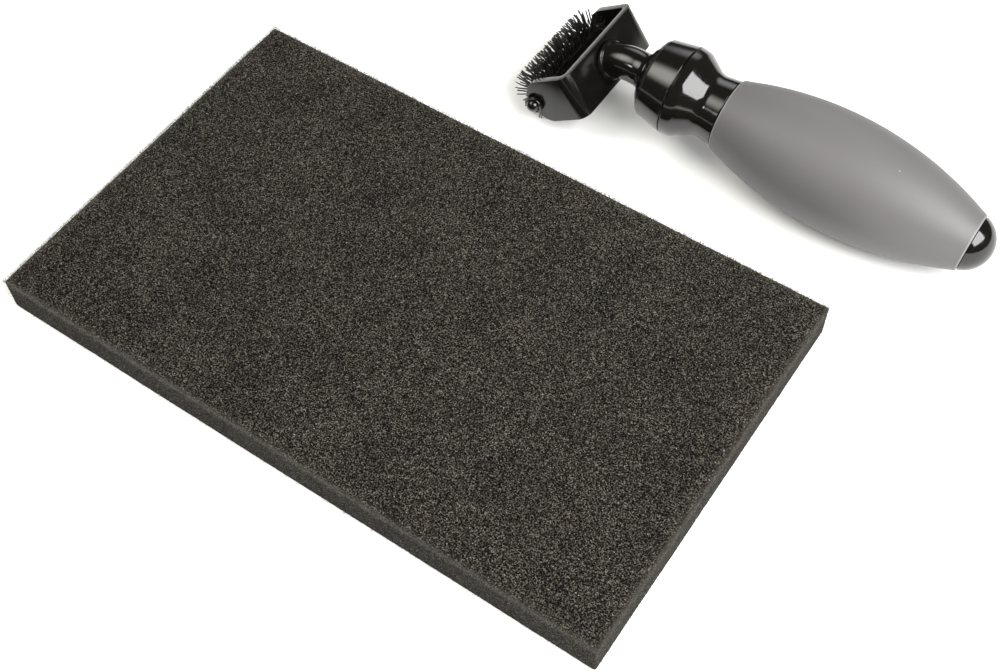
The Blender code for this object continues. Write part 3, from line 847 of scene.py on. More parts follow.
def cell_cutter(settings):
    """Node group that sinks open cells into a slab and keeps each point's first place."""
    tree = bpy.data.node_groups.new("open_cells", "GeometryNodeTree")
    for name, way in (("Geometry", "INPUT"), ("Geometry", "OUTPUT")):
        tree.interface.new_socket(name, in_out=way, socket_type="NodeSocketGeometry")
    slab = add_node(tree, "NodeGroupInput").outputs["Geometry"]
    place = add_node(tree, "GeometryNodeInputPosition").outputs["Position"]
    normal = add_node(tree, "GeometryNodeInputNormal").outputs["Normal"]
    kept = add_node(
        tree, "GeometryNodeStoreNamedAttribute",
        {"data_type": "FLOAT_VECTOR", "domain": "POINT", "Name": "uncut_place"},
        {"Geometry": slab, "Value": place},
    ).outputs["Geometry"]
    edges = add_node(
        tree, "ShaderNodeTexVoronoi",
        {"feature": "DISTANCE_TO_EDGE", "Scale": 1.0 / settings.cell_size}, {"Vector": place},
    ).outputs["Distance"]
    sunk = add_node(
        tree, "ShaderNodeMapRange",
        {"interpolation_type": "SMOOTHSTEP", "From Min": 0.04, "From Max": 0.38, "To Min": 0.0,
         "To Max": -settings.pore_depth}, {"Value": edges},
    ).outputs["Result"]
    side = add_node(
        tree, "GeometryNodeInputNamedAttribute", {"data_type": "FLOAT", "Name": "sawn_side"}
    ).outputs["Attribute"]
    closed = add_node(
        tree, "ShaderNodeMapRange", {"To Min": 1.0, "To Max": 0.45}, {"Value": side}
    ).outputs["Result"]
    depth = add_node(tree, "ShaderNodeMath", {"operation": "MULTIPLY"}, {0: sunk, 1: closed})
    # the saw wanders by up to 0.25 mm over 30 mm
    wander = add_node(
        tree, "ShaderNodeTexNoise", {"Scale": 34.0, "Detail": 1.0}, {"Vector": place}
    ).outputs["Fac"]
    total = add_node(
        tree, "ShaderNodeMath", {"operation": "MULTIPLY_ADD", 1: -0.25 * MM},
        {0: wander, 2: depth.outputs[0]},
    ).outputs[0]
    offset = add_node(
        tree, "ShaderNodeVectorMath", {"operation": "SCALE"}, {0: normal, "Scale": total}
    ).outputs["Vector"]
    moved = add_node(tree, "GeometryNodeSetPosition", {}, {"Geometry": kept, "Offset": offset})
    add_node(tree, "NodeGroupOutput", {}, {"Geometry": moved.outputs["Geometry"]})
    return tree


def mark_slab(mesh, low, high):
    """Store how far each point belongs to a sawn side, and how frayed its edge is."""
    points = np.empty(len(mesh.vertices) * 3, np.float32)
    mesh.vertices.foreach_get("co", points)
    points = points.reshape(-1, 3)
    inside = np.minimum(points - np.array(low), np.array(high) - points)
    from_side = inside[:, :2].min(axis=1)
    side = np.clip(0.5 + (inside[:, 2] - from_side) / (1.4 * MM), 0.0, 1.0)
    from_edge = np.maximum(from_side, np.array(high)[2] - points[:, 2])
    frayed = 0.5 * np.exp(-np.maximum(from_edge, 0.0) / (0.9 * MM))
    for name, values in (("sawn_side", side), ("frayed_edge", frayed)):
        layer = mesh.attributes.new(name, "FLOAT", "POINT")
        layer.data.foreach_set("value", values.astype(np.float32))


def strut_end():
    """One cut strut end along Z, of unit length: three-sided, tapered and a little bent."""
    start_clear()
    bpy.ops.mesh.primitive_cone_add(
        vertices=3, radius1=0.075, radius2=0.055, depth=0.5, location=(0.0, 0.0, 0.25),
        end_fill_type="NGON",
    )
    piece = bpy.context.object
    bpy.ops.object.transform_apply(location=True, rotation=True, scale=True)
    bpy.ops.object.mode_set(mode="EDIT")
    select_where(piece, "FACE", lambda middle, normal: normal.z > 0.9)
    bpy.ops.mesh.extrude_region_move(TRANSFORM_OT_translate={"value": (0.09, 0.0, 0.5)})
    bpy.ops.transform.resize(value=(0.55, 0.55, 1.0))
    bpy.ops.object.mode_set(mode="OBJECT")
    return take_apart(piece)


def take_apart(piece):
    """A pattern piece's points and triangles as arrays; the piece itself is thrown away."""
    take_up(piece)
    modify(piece, "TRIANGULATE")
    points = np.array([v.co for v in piece.data.vertices])
    faces = np.array([face.vertices[:] for face in piece.data.polygons])
    bpy.data.objects.remove(piece, do_unlink=True)
    return points, faces


def spread_copies(pattern, roots, directions, spins, scales, rng):
    """Points and faces of many copies of a pattern that stands on Z, each turned its own way."""
    points, faces = pattern
    normals = directions / np.linalg.norm(directions, axis=1)[:, None]
    helper = rng.normal(size=normals.shape)
    across = np.cross(normals, helper)
    across /= np.linalg.norm(across, axis=1)[:, None]
    third = np.cross(normals, across)
    turned_x = across * np.cos(spins)[:, None] + third * np.sin(spins)[:, None]
    turned_y = np.cross(normals, turned_x)
    local = points[None, :, :] * scales[:, None, :]
    placed_points = (
        roots[:, None, :]
        + local[:, :, 0:1] * turned_x[:, None, :]
        + local[:, :, 1:2] * turned_y[:, None, :]
        + local[:, :, 2:3] * normals[:, None, :]
    )
    shift = np.arange(len(roots))[:, None, None] * len(points)
    return placed_points.reshape(-1, 3), (faces[None, :, :] + shift).reshape(-1, 3)


class BRUSHSET_OT_foam_pad(bpy.types.Operator):
    """Make the foam pad with its open cells and frayed edges"""

    bl_idname = "brushset.foam_pad"
    bl_label = "Foam pad"

    def execute(self, context):
        settings = context.scene.brushset_foam
        low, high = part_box("foam_pad")
        size = high - low
        start_clear()
        bpy.ops.mesh.primitive_cube_add(size=1.0, location=(low + high) / 2.0, scale=size)
        bpy.ops.object.transform_apply(location=True, rotation=True, scale=True)
        slab = context.object
        slab.name = "foam_slab"
        bpy.ops.object.mode_set(mode="EDIT")
        bpy.ops.mesh.select_all(action="SELECT")
        bpy.ops.mesh.bevel(offset=0.9 * MM, segments=3)
        bpy.ops.object.mode_set(mode="OBJECT")
        modify(slab, "REMESH", mode="VOXEL", voxel_size=settings.grain)
        mark_slab(slab.data, low, high)
        modify(slab, "NODES", node_group=cell_cutter(settings))
        settle(slab, Matrix(), "pad", open_cell_foam(settings), ["foam_pad"], 60.0)
        self.fringe(settings, low, high)
        return {"FINISHED"}

    def fringe(self, settings, low, high):
        """Loose strut ends, thickest along the upper edges and sparse down the sides."""
        rng = np.random.default_rng(11)
        count = settings.cut_ends
        low, high = np.array(low), np.array(high)
        size = high - low
        on_long = rng.random(count) < size[0] / (size[0] + size[1])
        far = rng.random(count) < 0.5
        along = rng.random(count)
        band = rng.exponential(0.55 * MM, count)
        kind = rng.random(count)
        normal = np.zeros((count, 3))
        normal[:, 0] = np.where(on_long, 0.0, np.where(far, 1.0, -1.0))
        normal[:, 1] = np.where(on_long, np.where(far, 1.0, -1.0), 0.0)
        roots = np.empty((count, 3))
        edge = np.where(far[:, None], high[None, :2], low[None, :2])
        inner = low[None, :2] + along[:, None] * size[None, :2]
        roots[:, 0] = np.where(on_long, inner[:, 0], edge[:, 0])
        roots[:, 1] = np.where(on_long, edge[:, 1], inner[:, 1])
        roots[:, 2] = high[2]
        # a bit over half stand on top, a seventh anywhere down a side, the rest just below the edge
        share_on_top, share_near_edge = 0.55, 0.86
        from_edge, above_floor, rooted = 0.2 * MM, 0.3 * MM, 0.25 * MM
        on_top = kind < share_on_top
        down = np.where(kind > share_near_edge, rng.random(count) * size[2], band)
        roots[~on_top, 2] -= np.minimum(down[~on_top] + from_edge, size[2] - above_floor)
        roots[on_top] -= normal[on_top] * (band[on_top] + from_edge)[:, None]
        roots[~on_top] -= normal[~on_top] * rooted
        roots[on_top, 2] -= rooted
        upward = np.array((0.0, 0.0, 1.0))
        facing = np.where(on_top[:, None], upward + 0.45 * normal, normal + 0.6 * upward)
        directions = facing + rng.normal(scale=0.4, size=(count, 3))
        length = rng.uniform(0.4, 0.95, count) * MM
        thick = np.full(count, 0.65 * MM)
        scales = np.stack([thick, thick, length], axis=1)
        points, faces = spread_copies(
            strut_end(), roots, directions, rng.uniform(0.0, 2.0 * pi, count), scales, rng
        )
        points[:, 2] = np.maximum(points[:, 2], low[2])
        ends = mesh_piece("foam_cut_ends", points, faces)
        settle(ends, Matrix(), "pad", foam_strut_ends())


# ---- handle ------------------------------------------------------------------------------------


def barrel_radius(x, rear_x, rear_radius):
    """The grip's outer radius at x: one long arc through the belly and the rear edge."""
    drop = BELLY_RADIUS - rear_radius
    arc = ((BELLY_X - rear_x) ** 2 + drop**2) / (2.0 * drop)
    return BELLY_RADIUS - arc + sqrt(arc**2 - (x - BELLY_X) ** 2)


def grip_ends():
    """The grip's rear and front X, and its radius at the rear."""
    brush = brush_place()
    rear, front, _ = reach_of("grip_sleeve", brush)
    return rear, front, GRIP_REAR_RADIUS


class BRUSHSET_OT_grip(bpy.types.Operator):
    """Turn the rubber grip, with a small rounded lip at each end"""

    bl_idname = "brushset.grip"
    bl_label = "Rubber grip"

    def execute(self, context):
        rear, front, rear_radius = grip_ends()
        bore = STEM_RADIUS + FIT_GAP
        steps = 72
        lip = 0.3 * MM
        bead = 0.1 * MM

        def radius_at(x):
            return barrel_radius(x, rear, rear_radius)

        outline = [Vector((rear, bore))]
        for turn in np.linspace(pi, pi / 2.0, 5):
            edge = radius_at(rear + lip) + bead
            outline.append(Vector((rear + lip + lip * cos(turn), edge - lip + lip * sin(turn))))
        outline.append(Vector((rear + 2.0 * lip, radius_at(rear + 2.0 * lip) + bead)))
        for step in range(1, steps):
            x = rear + 3.0 * lip + (front - rear - 6.0 * lip) * step / steps
            outline.append(Vector((x, radius_at(x))))
        outline.append(Vector((front - 2.0 * lip, radius_at(front - 2.0 * lip) + bead)))
        for turn in np.linspace(pi / 2.0, 0.0, 5):
            edge = radius_at(front - lip) + bead
            outline.append(Vector((front - lip + lip * cos(turn), edge - lip + lip * sin(turn))))
        outline.append(Vector((front, bore)))
        grip = lathe("grip_barrel", outline, ring=True)
        # painted highlight: points on the lips at both ends are marked to be painted pale, where the
        # rounded edges catch the light
        values = np.zeros(len(grip.data.vertices), np.float32)
        for vertex in grip.data.vertices:
            from_end = min(vertex.co.x - rear, front - vertex.co.x)
            if from_end < 1.2 * lip and hypot(vertex.co.y, vertex.co.z) > GRIP_REAR_RADIUS - lip:
                values[vertex.index] = 1.0
        grip.data.attributes.new("painted_bead_highlight", "FLOAT", "POINT").data.foreach_set("value", values)
        rubber = moulded_rubber(context.scene.brushset_handle)
        settle(grip, brush_place(), "handle", rubber, ["grip_sleeve"])
        return {"FINISHED"}


class BRUSHSET_OT_handle_core(bpy.types.Operator):
    """Turn the handle's glossy core and cut the thread on its spigot"""

    bl_idname = "brushset.handle_core"
    bl_label = "Handle core"

    def execute(self, context):
        gloss = polished_abs(context.scene.brushset_handle)
        rear, front, rear_radius = grip_ends()
        land = barrel_radius(front, rear, rear_radius) - 0.5 * MM
        plug_bore = CAP_PLUG_RADIUS + FIT_GAP
        root = THREAD_RADIUS - 0.55 * MM
        outline = outline_through(
            [
                (rear + CAP_PLUG_LENGTH + FIT_GAP, 0.0, 0.0),
                (rear + CAP_PLUG_LENGTH + FIT_GAP, plug_bore, 0.0),
                (rear, plug_bore, 0.0),
                (rear, STEM_RADIUS, 0.2 * MM),
                (front + FIT_GAP, STEM_RADIUS, 0.0),
                (front + FIT_GAP, land, 0.35 * MM),
                (WAIST_X, WAIST_RADIUS, 5.0 * MM),
                (FLARE_SLOPE_X, FLARE_RADIUS - FLARE_BAND_TAPER, 5.0 * MM),
                (0.0, FLARE_RADIUS, 0.3 * MM),
                (0.0, root, 0.0),
                (SPIGOT_FRONT, root, 0.25 * MM),
                (SPIGOT_FRONT, CAVITY_RADIUS, 0.1 * MM),
                (-CAVITY_DEPTH, CAVITY_RADIUS, 0.0),
                (-CAVITY_DEPTH, 0.0, 0.0),
            ]
        )
        core = lathe("handle_moulding", outline)
        settle(core, brush_place(), "handle", gloss, ["handle_core"])
        thread = self.thread(root)
        settle(thread, brush_place(), "handle", gloss)
        return {"FINISHED"}

    def thread(self, root):
        """A ridge wound round the spigot at the collar's pitch, closed at both ends."""
        start = 1.6 * MM
        foot = root - 0.1 * MM
        crest = THREAD_RADIUS - 0.05 * MM
        section = [(start, foot), (start + 0.25 * MM, crest), (start + 0.55 * MM, crest),
                   (start + 0.8 * MM, foot)]
        draw_line(section + [section[0]])
        bpy.ops.mesh.remove_doubles(threshold=1e-6)
        bpy.ops.object.mode_set(mode="OBJECT")
        bpy.ops.object.transform_apply(location=True, rotation=True, scale=True)
        ridge = bpy.context.object
        ridge.name = "spigot_thread"
        modify(ridge, "SCREW", axis="X", iterations=4, screw_offset=THREAD_PITCH, steps=48,
               render_steps=48)
        bpy.ops.object.mode_set(mode="EDIT")
        bpy.ops.mesh.select_mode(type="EDGE")
        bpy.ops.mesh.select_all(action="DESELECT")
        bpy.ops.mesh.select_non_manifold()
        bpy.ops.mesh.edge_face_add()
        return close_up()


class BRUSHSET_OT_end_cap(bpy.types.Operator):
    """Turn the domed end cap with its plug"""

    bl_idname = "brushset.end_cap"
    bl_label = "End cap"

    def execute(self, context):
        rear, _, rear_radius = grip_ends()
        tip, _, _ = reach_of("end_cap", brush_place())
        rim = rear_radius - 0.2 * MM
        face = rear - FIT_GAP
        height = face - tip
        ball = (height**2 + rim**2) / (2.0 * height)
        spread = asin(rim / ball)
        outline = [
            Vector((tip + ball - ball * cos(spread * step / 26), ball * sin(spread * step / 26)))
            for step in range(27)
        ]
        outline[0].y = 0.0
        outline.append(Vector((face, rim - 0.06 * MM)))
        # a step behind the rim closes the gap to the grip's end
        outline.append(Vector((face, rim - 0.5 * MM)))
        outline.append(Vector((rear - 0.05 * MM, rim - 0.55 * MM)))
        plug = rear + CAP_PLUG_LENGTH
        outline += outline_through(
            [
                (rear - 0.05 * MM, CAP_PLUG_RADIUS, 0.0),
                (plug, CAP_PLUG_RADIUS, 0.4 * MM),
                (plug, 0.0, 0.0),
            ]
        )
        cap = lathe("end_dome", outline)
        gloss = polished_abs(context.scene.brushset_handle)
        settle(cap, brush_place(), "handle", gloss, ["end_cap"])
        return {"FINISHED"}


class BRUSHSET_OT_collar(bpy.types.Operator):
    """Turn the screw collar, with its chamfered nose and inner seat"""

    bl_idname = "brushset.collar"
    bl_label = "Screw collar"

    def execute(self, context):
        rear, front, _ = reach_of("clamp_collar", brush_place())
        bore = THREAD_RADIUS + FIT_GAP
        nose = front - COLLAR_NOSE_LENGTH
        nose_radius = FLARE_RADIUS - COLLAR_TAPER
        outline = outline_through(
            [
                (rear, bore, 0.3 * MM),
                (rear, FLARE_RADIUS, 0.35 * MM),
                (nose, nose_radius, 0.7 * MM),
                (nose + 0.35 * MM, nose_radius - 0.75 * MM, 0.0),
                (nose + 0.7 * MM, nose_radius - 0.65 * MM, 0.25 * MM),
                (front, COLLAR_FACE_RADIUS, 0.5 * MM),
                (front, COLLAR_MOUTH_RADIUS + 0.9 * MM, 0.2 * MM),
                (front - 0.35 * MM, COLLAR_MOUTH_RADIUS + 0.7 * MM, 0.0),
                (front - 0.35 * MM, COLLAR_MOUTH_RADIUS, 0.1 * MM),
                (front - COLLAR_WALL_AT_MOUTH, COLLAR_MOUTH_RADIUS, 0.0),
                (COLLAR_SEAT_X, CAVITY_RADIUS + FIT_GAP, 0.0),
                (COLLAR_SEAT_X, bore, 0.0),
            ]
        )
        collar = lathe("screw_collar", outline, ring=True)
        gloss = polished_abs(context.scene.brushset_handle)
        settle(collar, brush_place(), "collar", gloss, ["clamp_collar"])
        return {"FINISHED"}


# ---- head --------------------------------------------------------------------------------------


class BRUSHSET_OT_neck(bpy.types.Operator):
    """Bend the neck, with its shoulder, flange and hexagonal shank"""

    bl_idname = "brushset.neck"
    bl_label = "Bent neck"

    def execute(self, context):
        start_clear()
        bpy.ops.mesh.primitive_circle_add(
            vertices=64, radius=SHOULDER_RADIUS - 0.5 * MM, fill_type="NGON",
            location=(SHOULDER_X, 0.0, 0.0), rotation=(0.0, pi / 2.0, 0.0),
        )
        neck = context.object
        neck.name = "bent_neck"
        bpy.ops.object.transform_apply(location=True, rotation=True, scale=True)
        bpy.ops.object.mode_set(mode="EDIT")
        bpy.ops.mesh.select_all(action="SELECT")
        # shoulder, from its rear edge to the neck's own diameter
        slope = SHOULDER_LENGTH - 1.4 * MM
        self.grow((0.25 * MM, 0.0, 0.0), SHOULDER_RADIUS - 0.5 * MM, SHOULDER_RADIUS - 0.1 * MM)
        self.grow((0.25 * MM, 0.0, 0.0), SHOULDER_RADIUS - 0.1 * MM, SHOULDER_RADIUS)
        self.grow((0.9 * MM, 0.0, 0.0), SHOULDER_RADIUS, SHOULDER_RADIUS - 0.15 * MM)
        self.grow((slope * 0.7, 0.0, 0.0), SHOULDER_RADIUS - 0.15 * MM, NECK_RADIUS + 0.25 * MM)
        self.grow((slope * 0.3, 0.0, 0.0), NECK_RADIUS + 0.25 * MM, NECK_RADIUS + 0.03 * MM)
        straight = NECK_BEND_X - SHOULDER_X - SHOULDER_LENGTH
        self.grow((straight, 0.0, 0.0), NECK_RADIUS + 0.03 * MM, NECK_RADIUS)
        back = FLANGE_THICKNESS + FIT_GAP + 0.25 * MM
        turn = NECK_BEND_ANGLE - back / NECK_BEND_RADIUS
        bpy.ops.mesh.spin(
            steps=28, angle=-turn, center=(NECK_BEND_X, 0.0, -NECK_BEND_RADIUS), axis=(0, 1, 0)
        )
        # fillet into the flange, and the flange with both edges rounded
        ahead = Vector((cos(NECK_BEND_ANGLE), 0.0, -sin(NECK_BEND_ANGLE)))
        sizes = [
            (0.2 * MM, NECK_RADIUS + 0.1 * MM), (0.05 * MM, NECK_RADIUS + 0.35 * MM),
            (0.0, FLANGE_RADIUS - 0.3 * MM), (0.1 * MM, FLANGE_RADIUS - 0.09 * MM),
            (0.2 * MM, FLANGE_RADIUS), (0.6 * MM, FLANGE_RADIUS),
            (0.2 * MM, FLANGE_RADIUS - 0.09 * MM), (0.1 * MM, FLANGE_RADIUS - 0.3 * MM),
        ]
        before = NECK_RADIUS
        for step, radius in sizes:
            self.grow(ahead * step, before, radius)
            before = radius
        neck = close_up()
        shank_front = SHOULDER_X + 2.0 * MM
        across_corners = SHANK_ACROSS_FLATS / cos(pi / 6.0)
        shank = rod_along(across_corners / 2.0, -SHANK_DEPTH, shank_front, sides=6)
        modify(shank, "BEVEL", width=0.5 * MM, segments=2, limit_method="ANGLE")
        cut_or_join(neck, shank, "UNION")
        hole = rod_along(SCREW_RADIUS + FIT_GAP, -SCREW_GRIP - FIT_GAP, SCREW_GRIP)
        hole.matrix_world = brush_place().inverted() @ head_place()
        cut_or_join(neck, hole, "DIFFERENCE")
        gloss = polished_abs(context.scene.brushset_handle)
        settle(neck, brush_place(), "head", gloss, ["neck_elbow"])
        return {"FINISHED"}

    def grow(self, step, before, after):
        """Extrude the selected end by a step and change its radius."""
        bpy.ops.mesh.extrude_region_move(TRANSFORM_OT_translate={"value": step})
        share = after / before
        bpy.ops.transform.resize(value=(share, share, share))


class BRUSHSET_OT_bracket(bpy.types.Operator):
    """Bend the sheet bracket and drill it"""

    bl_idname = "brushset.bracket"
    bl_label = "Sheet bracket"

    def execute(self, context):
        half = BRACKET_WIDTH / 2.0
        bend = SHEET_BEND_RADIUS
        start_clear()
        # the sheet's outer skin: the back plate, then each bend, then each arm
        bpy.ops.mesh.primitive_plane_add(size=1.0, rotation=(0.0, -pi / 2.0, 0.0))
        sheet = context.object
        sheet.name = "sheet_yoke"
        bpy.ops.object.transform_apply(location=True, rotation=True, scale=True)
        bpy.ops.object.mode_set(mode="EDIT")
        bpy.ops.mesh.select_all(action="SELECT")
        bpy.ops.transform.resize(value=(1.0, 2.0 * (half - bend), BRACKET_HEIGHT))
        for way in (1.0, -1.0):
            select_where(
                sheet, "EDGE",
                lambda middle, line: abs(line.z) > 0.9 and middle.y * way > half - bend - MM
                and middle.x < MM,
            )
            bpy.ops.mesh.spin(
                steps=14, angle=way * pi / 2.0, center=(bend, way * (half - bend), 0.0),
                axis=(0, 0, 1),
            )
            bpy.ops.mesh.extrude_region_move(
                TRANSFORM_OT_translate={"value": (BRACKET_DEPTH - bend, 0.0, 0.0)}
            )
        # the arms' front corners are sheared off
        for side in (1.0, -1.0):
            bpy.ops.mesh.select_all(action="SELECT")
            bpy.ops.mesh.bisect(
                plane_co=(BRACKET_DEPTH - ARM_CORNER_CUT, 0.0, side * BRACKET_HEIGHT / 2.0),
                plane_no=(1.0, 0.0, side), clear_outer=True,
            )
        self.round_corners(sheet)
        sheet = close_up()
        outward = sum(
            1 for face in sheet.data.polygons if face.center.x < 1e-5 and face.normal.x < 0
        )
        inward = -1.0 if outward else 1.0
        modify(sheet, "SOLIDIFY", thickness=SHEET, offset=inward, use_even_offset=True)
        take_up(sheet)
        bpy.ops.object.mode_set(mode="EDIT")
        sheet = close_up()
        pin_hole = rod_along(AXLE_RADIUS + FIT_GAP, -BRACKET_WIDTH, BRACKET_WIDTH, axis="Y")
        pin_hole.location.x = AXLE_SETBACK
        cut_or_join(sheet, pin_hole, "DIFFERENCE")
        screw_hole = rod_along(SCREW_RADIUS + FIT_GAP, -2.0 * SHEET, 2.0 * SHEET)
        cut_or_join(sheet, screw_hole, "DIFFERENCE")
        modify(
            sheet, "BEVEL", width=0.45 * MM, segments=4, limit_method="ANGLE",
            angle_limit=radians(40.0), harden_normals=False,
        )
        self.mark_edge_highlights(sheet)
        lacquer = lacquered_sheet(context.scene.brushset_bracket)
        settle(sheet, head_place(), "head", lacquer, ["yoke_bracket"])
        return {"FINISHED"}

    def round_corners(self, sheet):
        """Round each corner of the arms' outline."""
        bpy.ops.mesh.select_mode(type="VERT")
        bpy.ops.mesh.select_all(action="DESELECT")
        bpy.ops.object.mode_set(mode="OBJECT")
        start = BRACKET_DEPTH - ARM_CORNER_CUT - 0.1 * MM
        for vertex in sheet.data.vertices:
            vertex.select = vertex.co.x > start
        bpy.ops.object.mode_set(mode="EDIT")
        bpy.ops.mesh.bevel(offset=2.4 * MM, segments=5, affect="VERTICES")

    def mark_edge_highlights(self, sheet):
        """Store where the sheet's cut edges are, for the painted highlight that lightens the lacquer
        there.
        """
        mesh = sheet.data
        values = np.zeros(len(mesh.vertices), np.float32)
        for face in mesh.polygons:
            upright = abs(face.normal.z) > 0.5
            front = face.normal.x > 0.4 and face.center.x > SHEET_BEND_RADIUS + MM
            if upright or front:
                values[list(face.vertices)] = 1.0
        layer = mesh.attributes.new("painted_sheet_edge_highlight", "FLOAT", "POINT")
        layer.data.foreach_set("value", values)


class BRUSHSET_OT_axle(bpy.types.Operator):
    """Turn the axle pin with its domed head, and the matching push-on cap"""

    bl_idname = "brushset.axle"
    bl_label = "Axle pin and cap"

    def execute(self, context):
        gloss = polished_abs(context.scene.brushset_handle)
        arm = BRACKET_WIDTH / 2.0
        rear = arm + FIT_GAP
        front = rear + AXLE_FLANGE_THICKNESS
        head = [
            (rear, AXLE_FLANGE_RADIUS, 0.15 * MM),
            (front, AXLE_FLANGE_RADIUS, 0.45 * MM),
            (front, AXLE_DOME_RADIUS + 0.35 * MM, 0.1 * MM),
            (front - 0.3 * MM, AXLE_DOME_RADIUS + 0.15 * MM, 0.1 * MM),
        ]
        foot = front - 0.2 * MM
        rise = AXLE_DOME_HEIGHT + 0.2 * MM
        dome = [
            Vector((foot + rise * sin(turn), AXLE_DOME_RADIUS * cos(turn)))
            for turn in np.linspace(0.0, pi / 2.0, 14)
        ]
        dome[-1].y = 0.0
        pin = outline_through(
            [(-front, 0.0, 0.0), (-front, AXLE_RADIUS, 0.2 * MM), (rear, AXLE_RADIUS, 0.0)] + head
        )
        made = lathe("axle_headed_pin", pin + dome, sides=SMALL_SIDES)
        settle(made, axle_place(), "head", gloss, ["axle_pin"])
        bore = AXLE_RADIUS + FIT_GAP
        closed = front + FIT_GAP
        cap = outline_through(
            [(closed, 0.0, 0.0), (closed, bore, 0.0), (rear, bore, 0.1 * MM)] + head
        )
        mirrored = [Vector((-point.x, point.y)) for point in cap + dome]
        made = lathe("axle_push_cap", mirrored, sides=SMALL_SIDES)
        settle(made, axle_place(), "head", gloss, ["axle_cap"])
        return {"FINISHED"}


# ---- roller ------------------------------------------------------------------------------------


class BRUSHSET_OT_roller(bpy.types.Operator):
    """Turn the roller's barrel and drill it for the tufts"""

    bl_idname = "brushset.roller"
    bl_label = "Roller barrel"

    def execute(self, context):
        tufts = context.scene.brushset_roller.tufts
        axle = axle_place()
        start, end, _ = reach_of("roller_core", axle)
        bore = AXLE_RADIUS + FIT_GAP
        chamfer = 0.25 * MM
        slots = 2 * tufts + 1
        outline = [(start, bore), (start, ROLLER_RADIUS - chamfer), (start + chamfer, ROLLER_RADIUS)]
        for step in range(1, slots):
            x = start + chamfer + (end - start - 2.0 * chamfer) * step / slots
            outline.append((x, ROLLER_RADIUS))
        outline += [(end - chamfer, ROLLER_RADIUS), (end, ROLLER_RADIUS - chamfer), (end, bore)]
        barrel = lathe("roller_barrel", outline, sides=2 * BRISTLE_ROWS, ring=True)
        low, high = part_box("bristle_row_01")
        down = axle.to_3x3().inverted() @ ((low + high) / 2.0 - axle.translation)
        first = atan2(down.y, down.z)
        take_up(barrel)
        barrel.rotation_euler = (-first + pi / (2 * BRISTLE_ROWS), 0.0, 0.0)
        bpy.ops.object.transform_apply(location=False, rotation=True, scale=False)
        bpy.ops.object.mode_set(mode="EDIT")
        width = (end - start - 2.0 * chamfer) / slots

        def socket(middle, normal):
            turn = (atan2(middle.y, middle.z) - first) / (2.0 * pi / BRISTLE_ROWS)
            place = (middle.x - start - chamfer) / width
            on_row = abs(turn - round(turn)) < 0.1
            return on_row and hypot(normal.y, normal.z) > 0.9 and int(place) % 2 == 1 and (
                hypot(middle.y, middle.z) > 0.9 * ROLLER_RADIUS
            )

        select_where(barrel, "FACE", socket)
        bpy.ops.mesh.inset(thickness=0.1 * MM, depth=-0.5 * MM, use_individual=True)
        bpy.ops.mesh.select_all(action="SELECT")
        bpy.ops.object.mode_set(mode="OBJECT")
        settle(barrel, axle, "roller", moulded_polypropylene(), ["roller_core"])
        return {"FINISHED"}


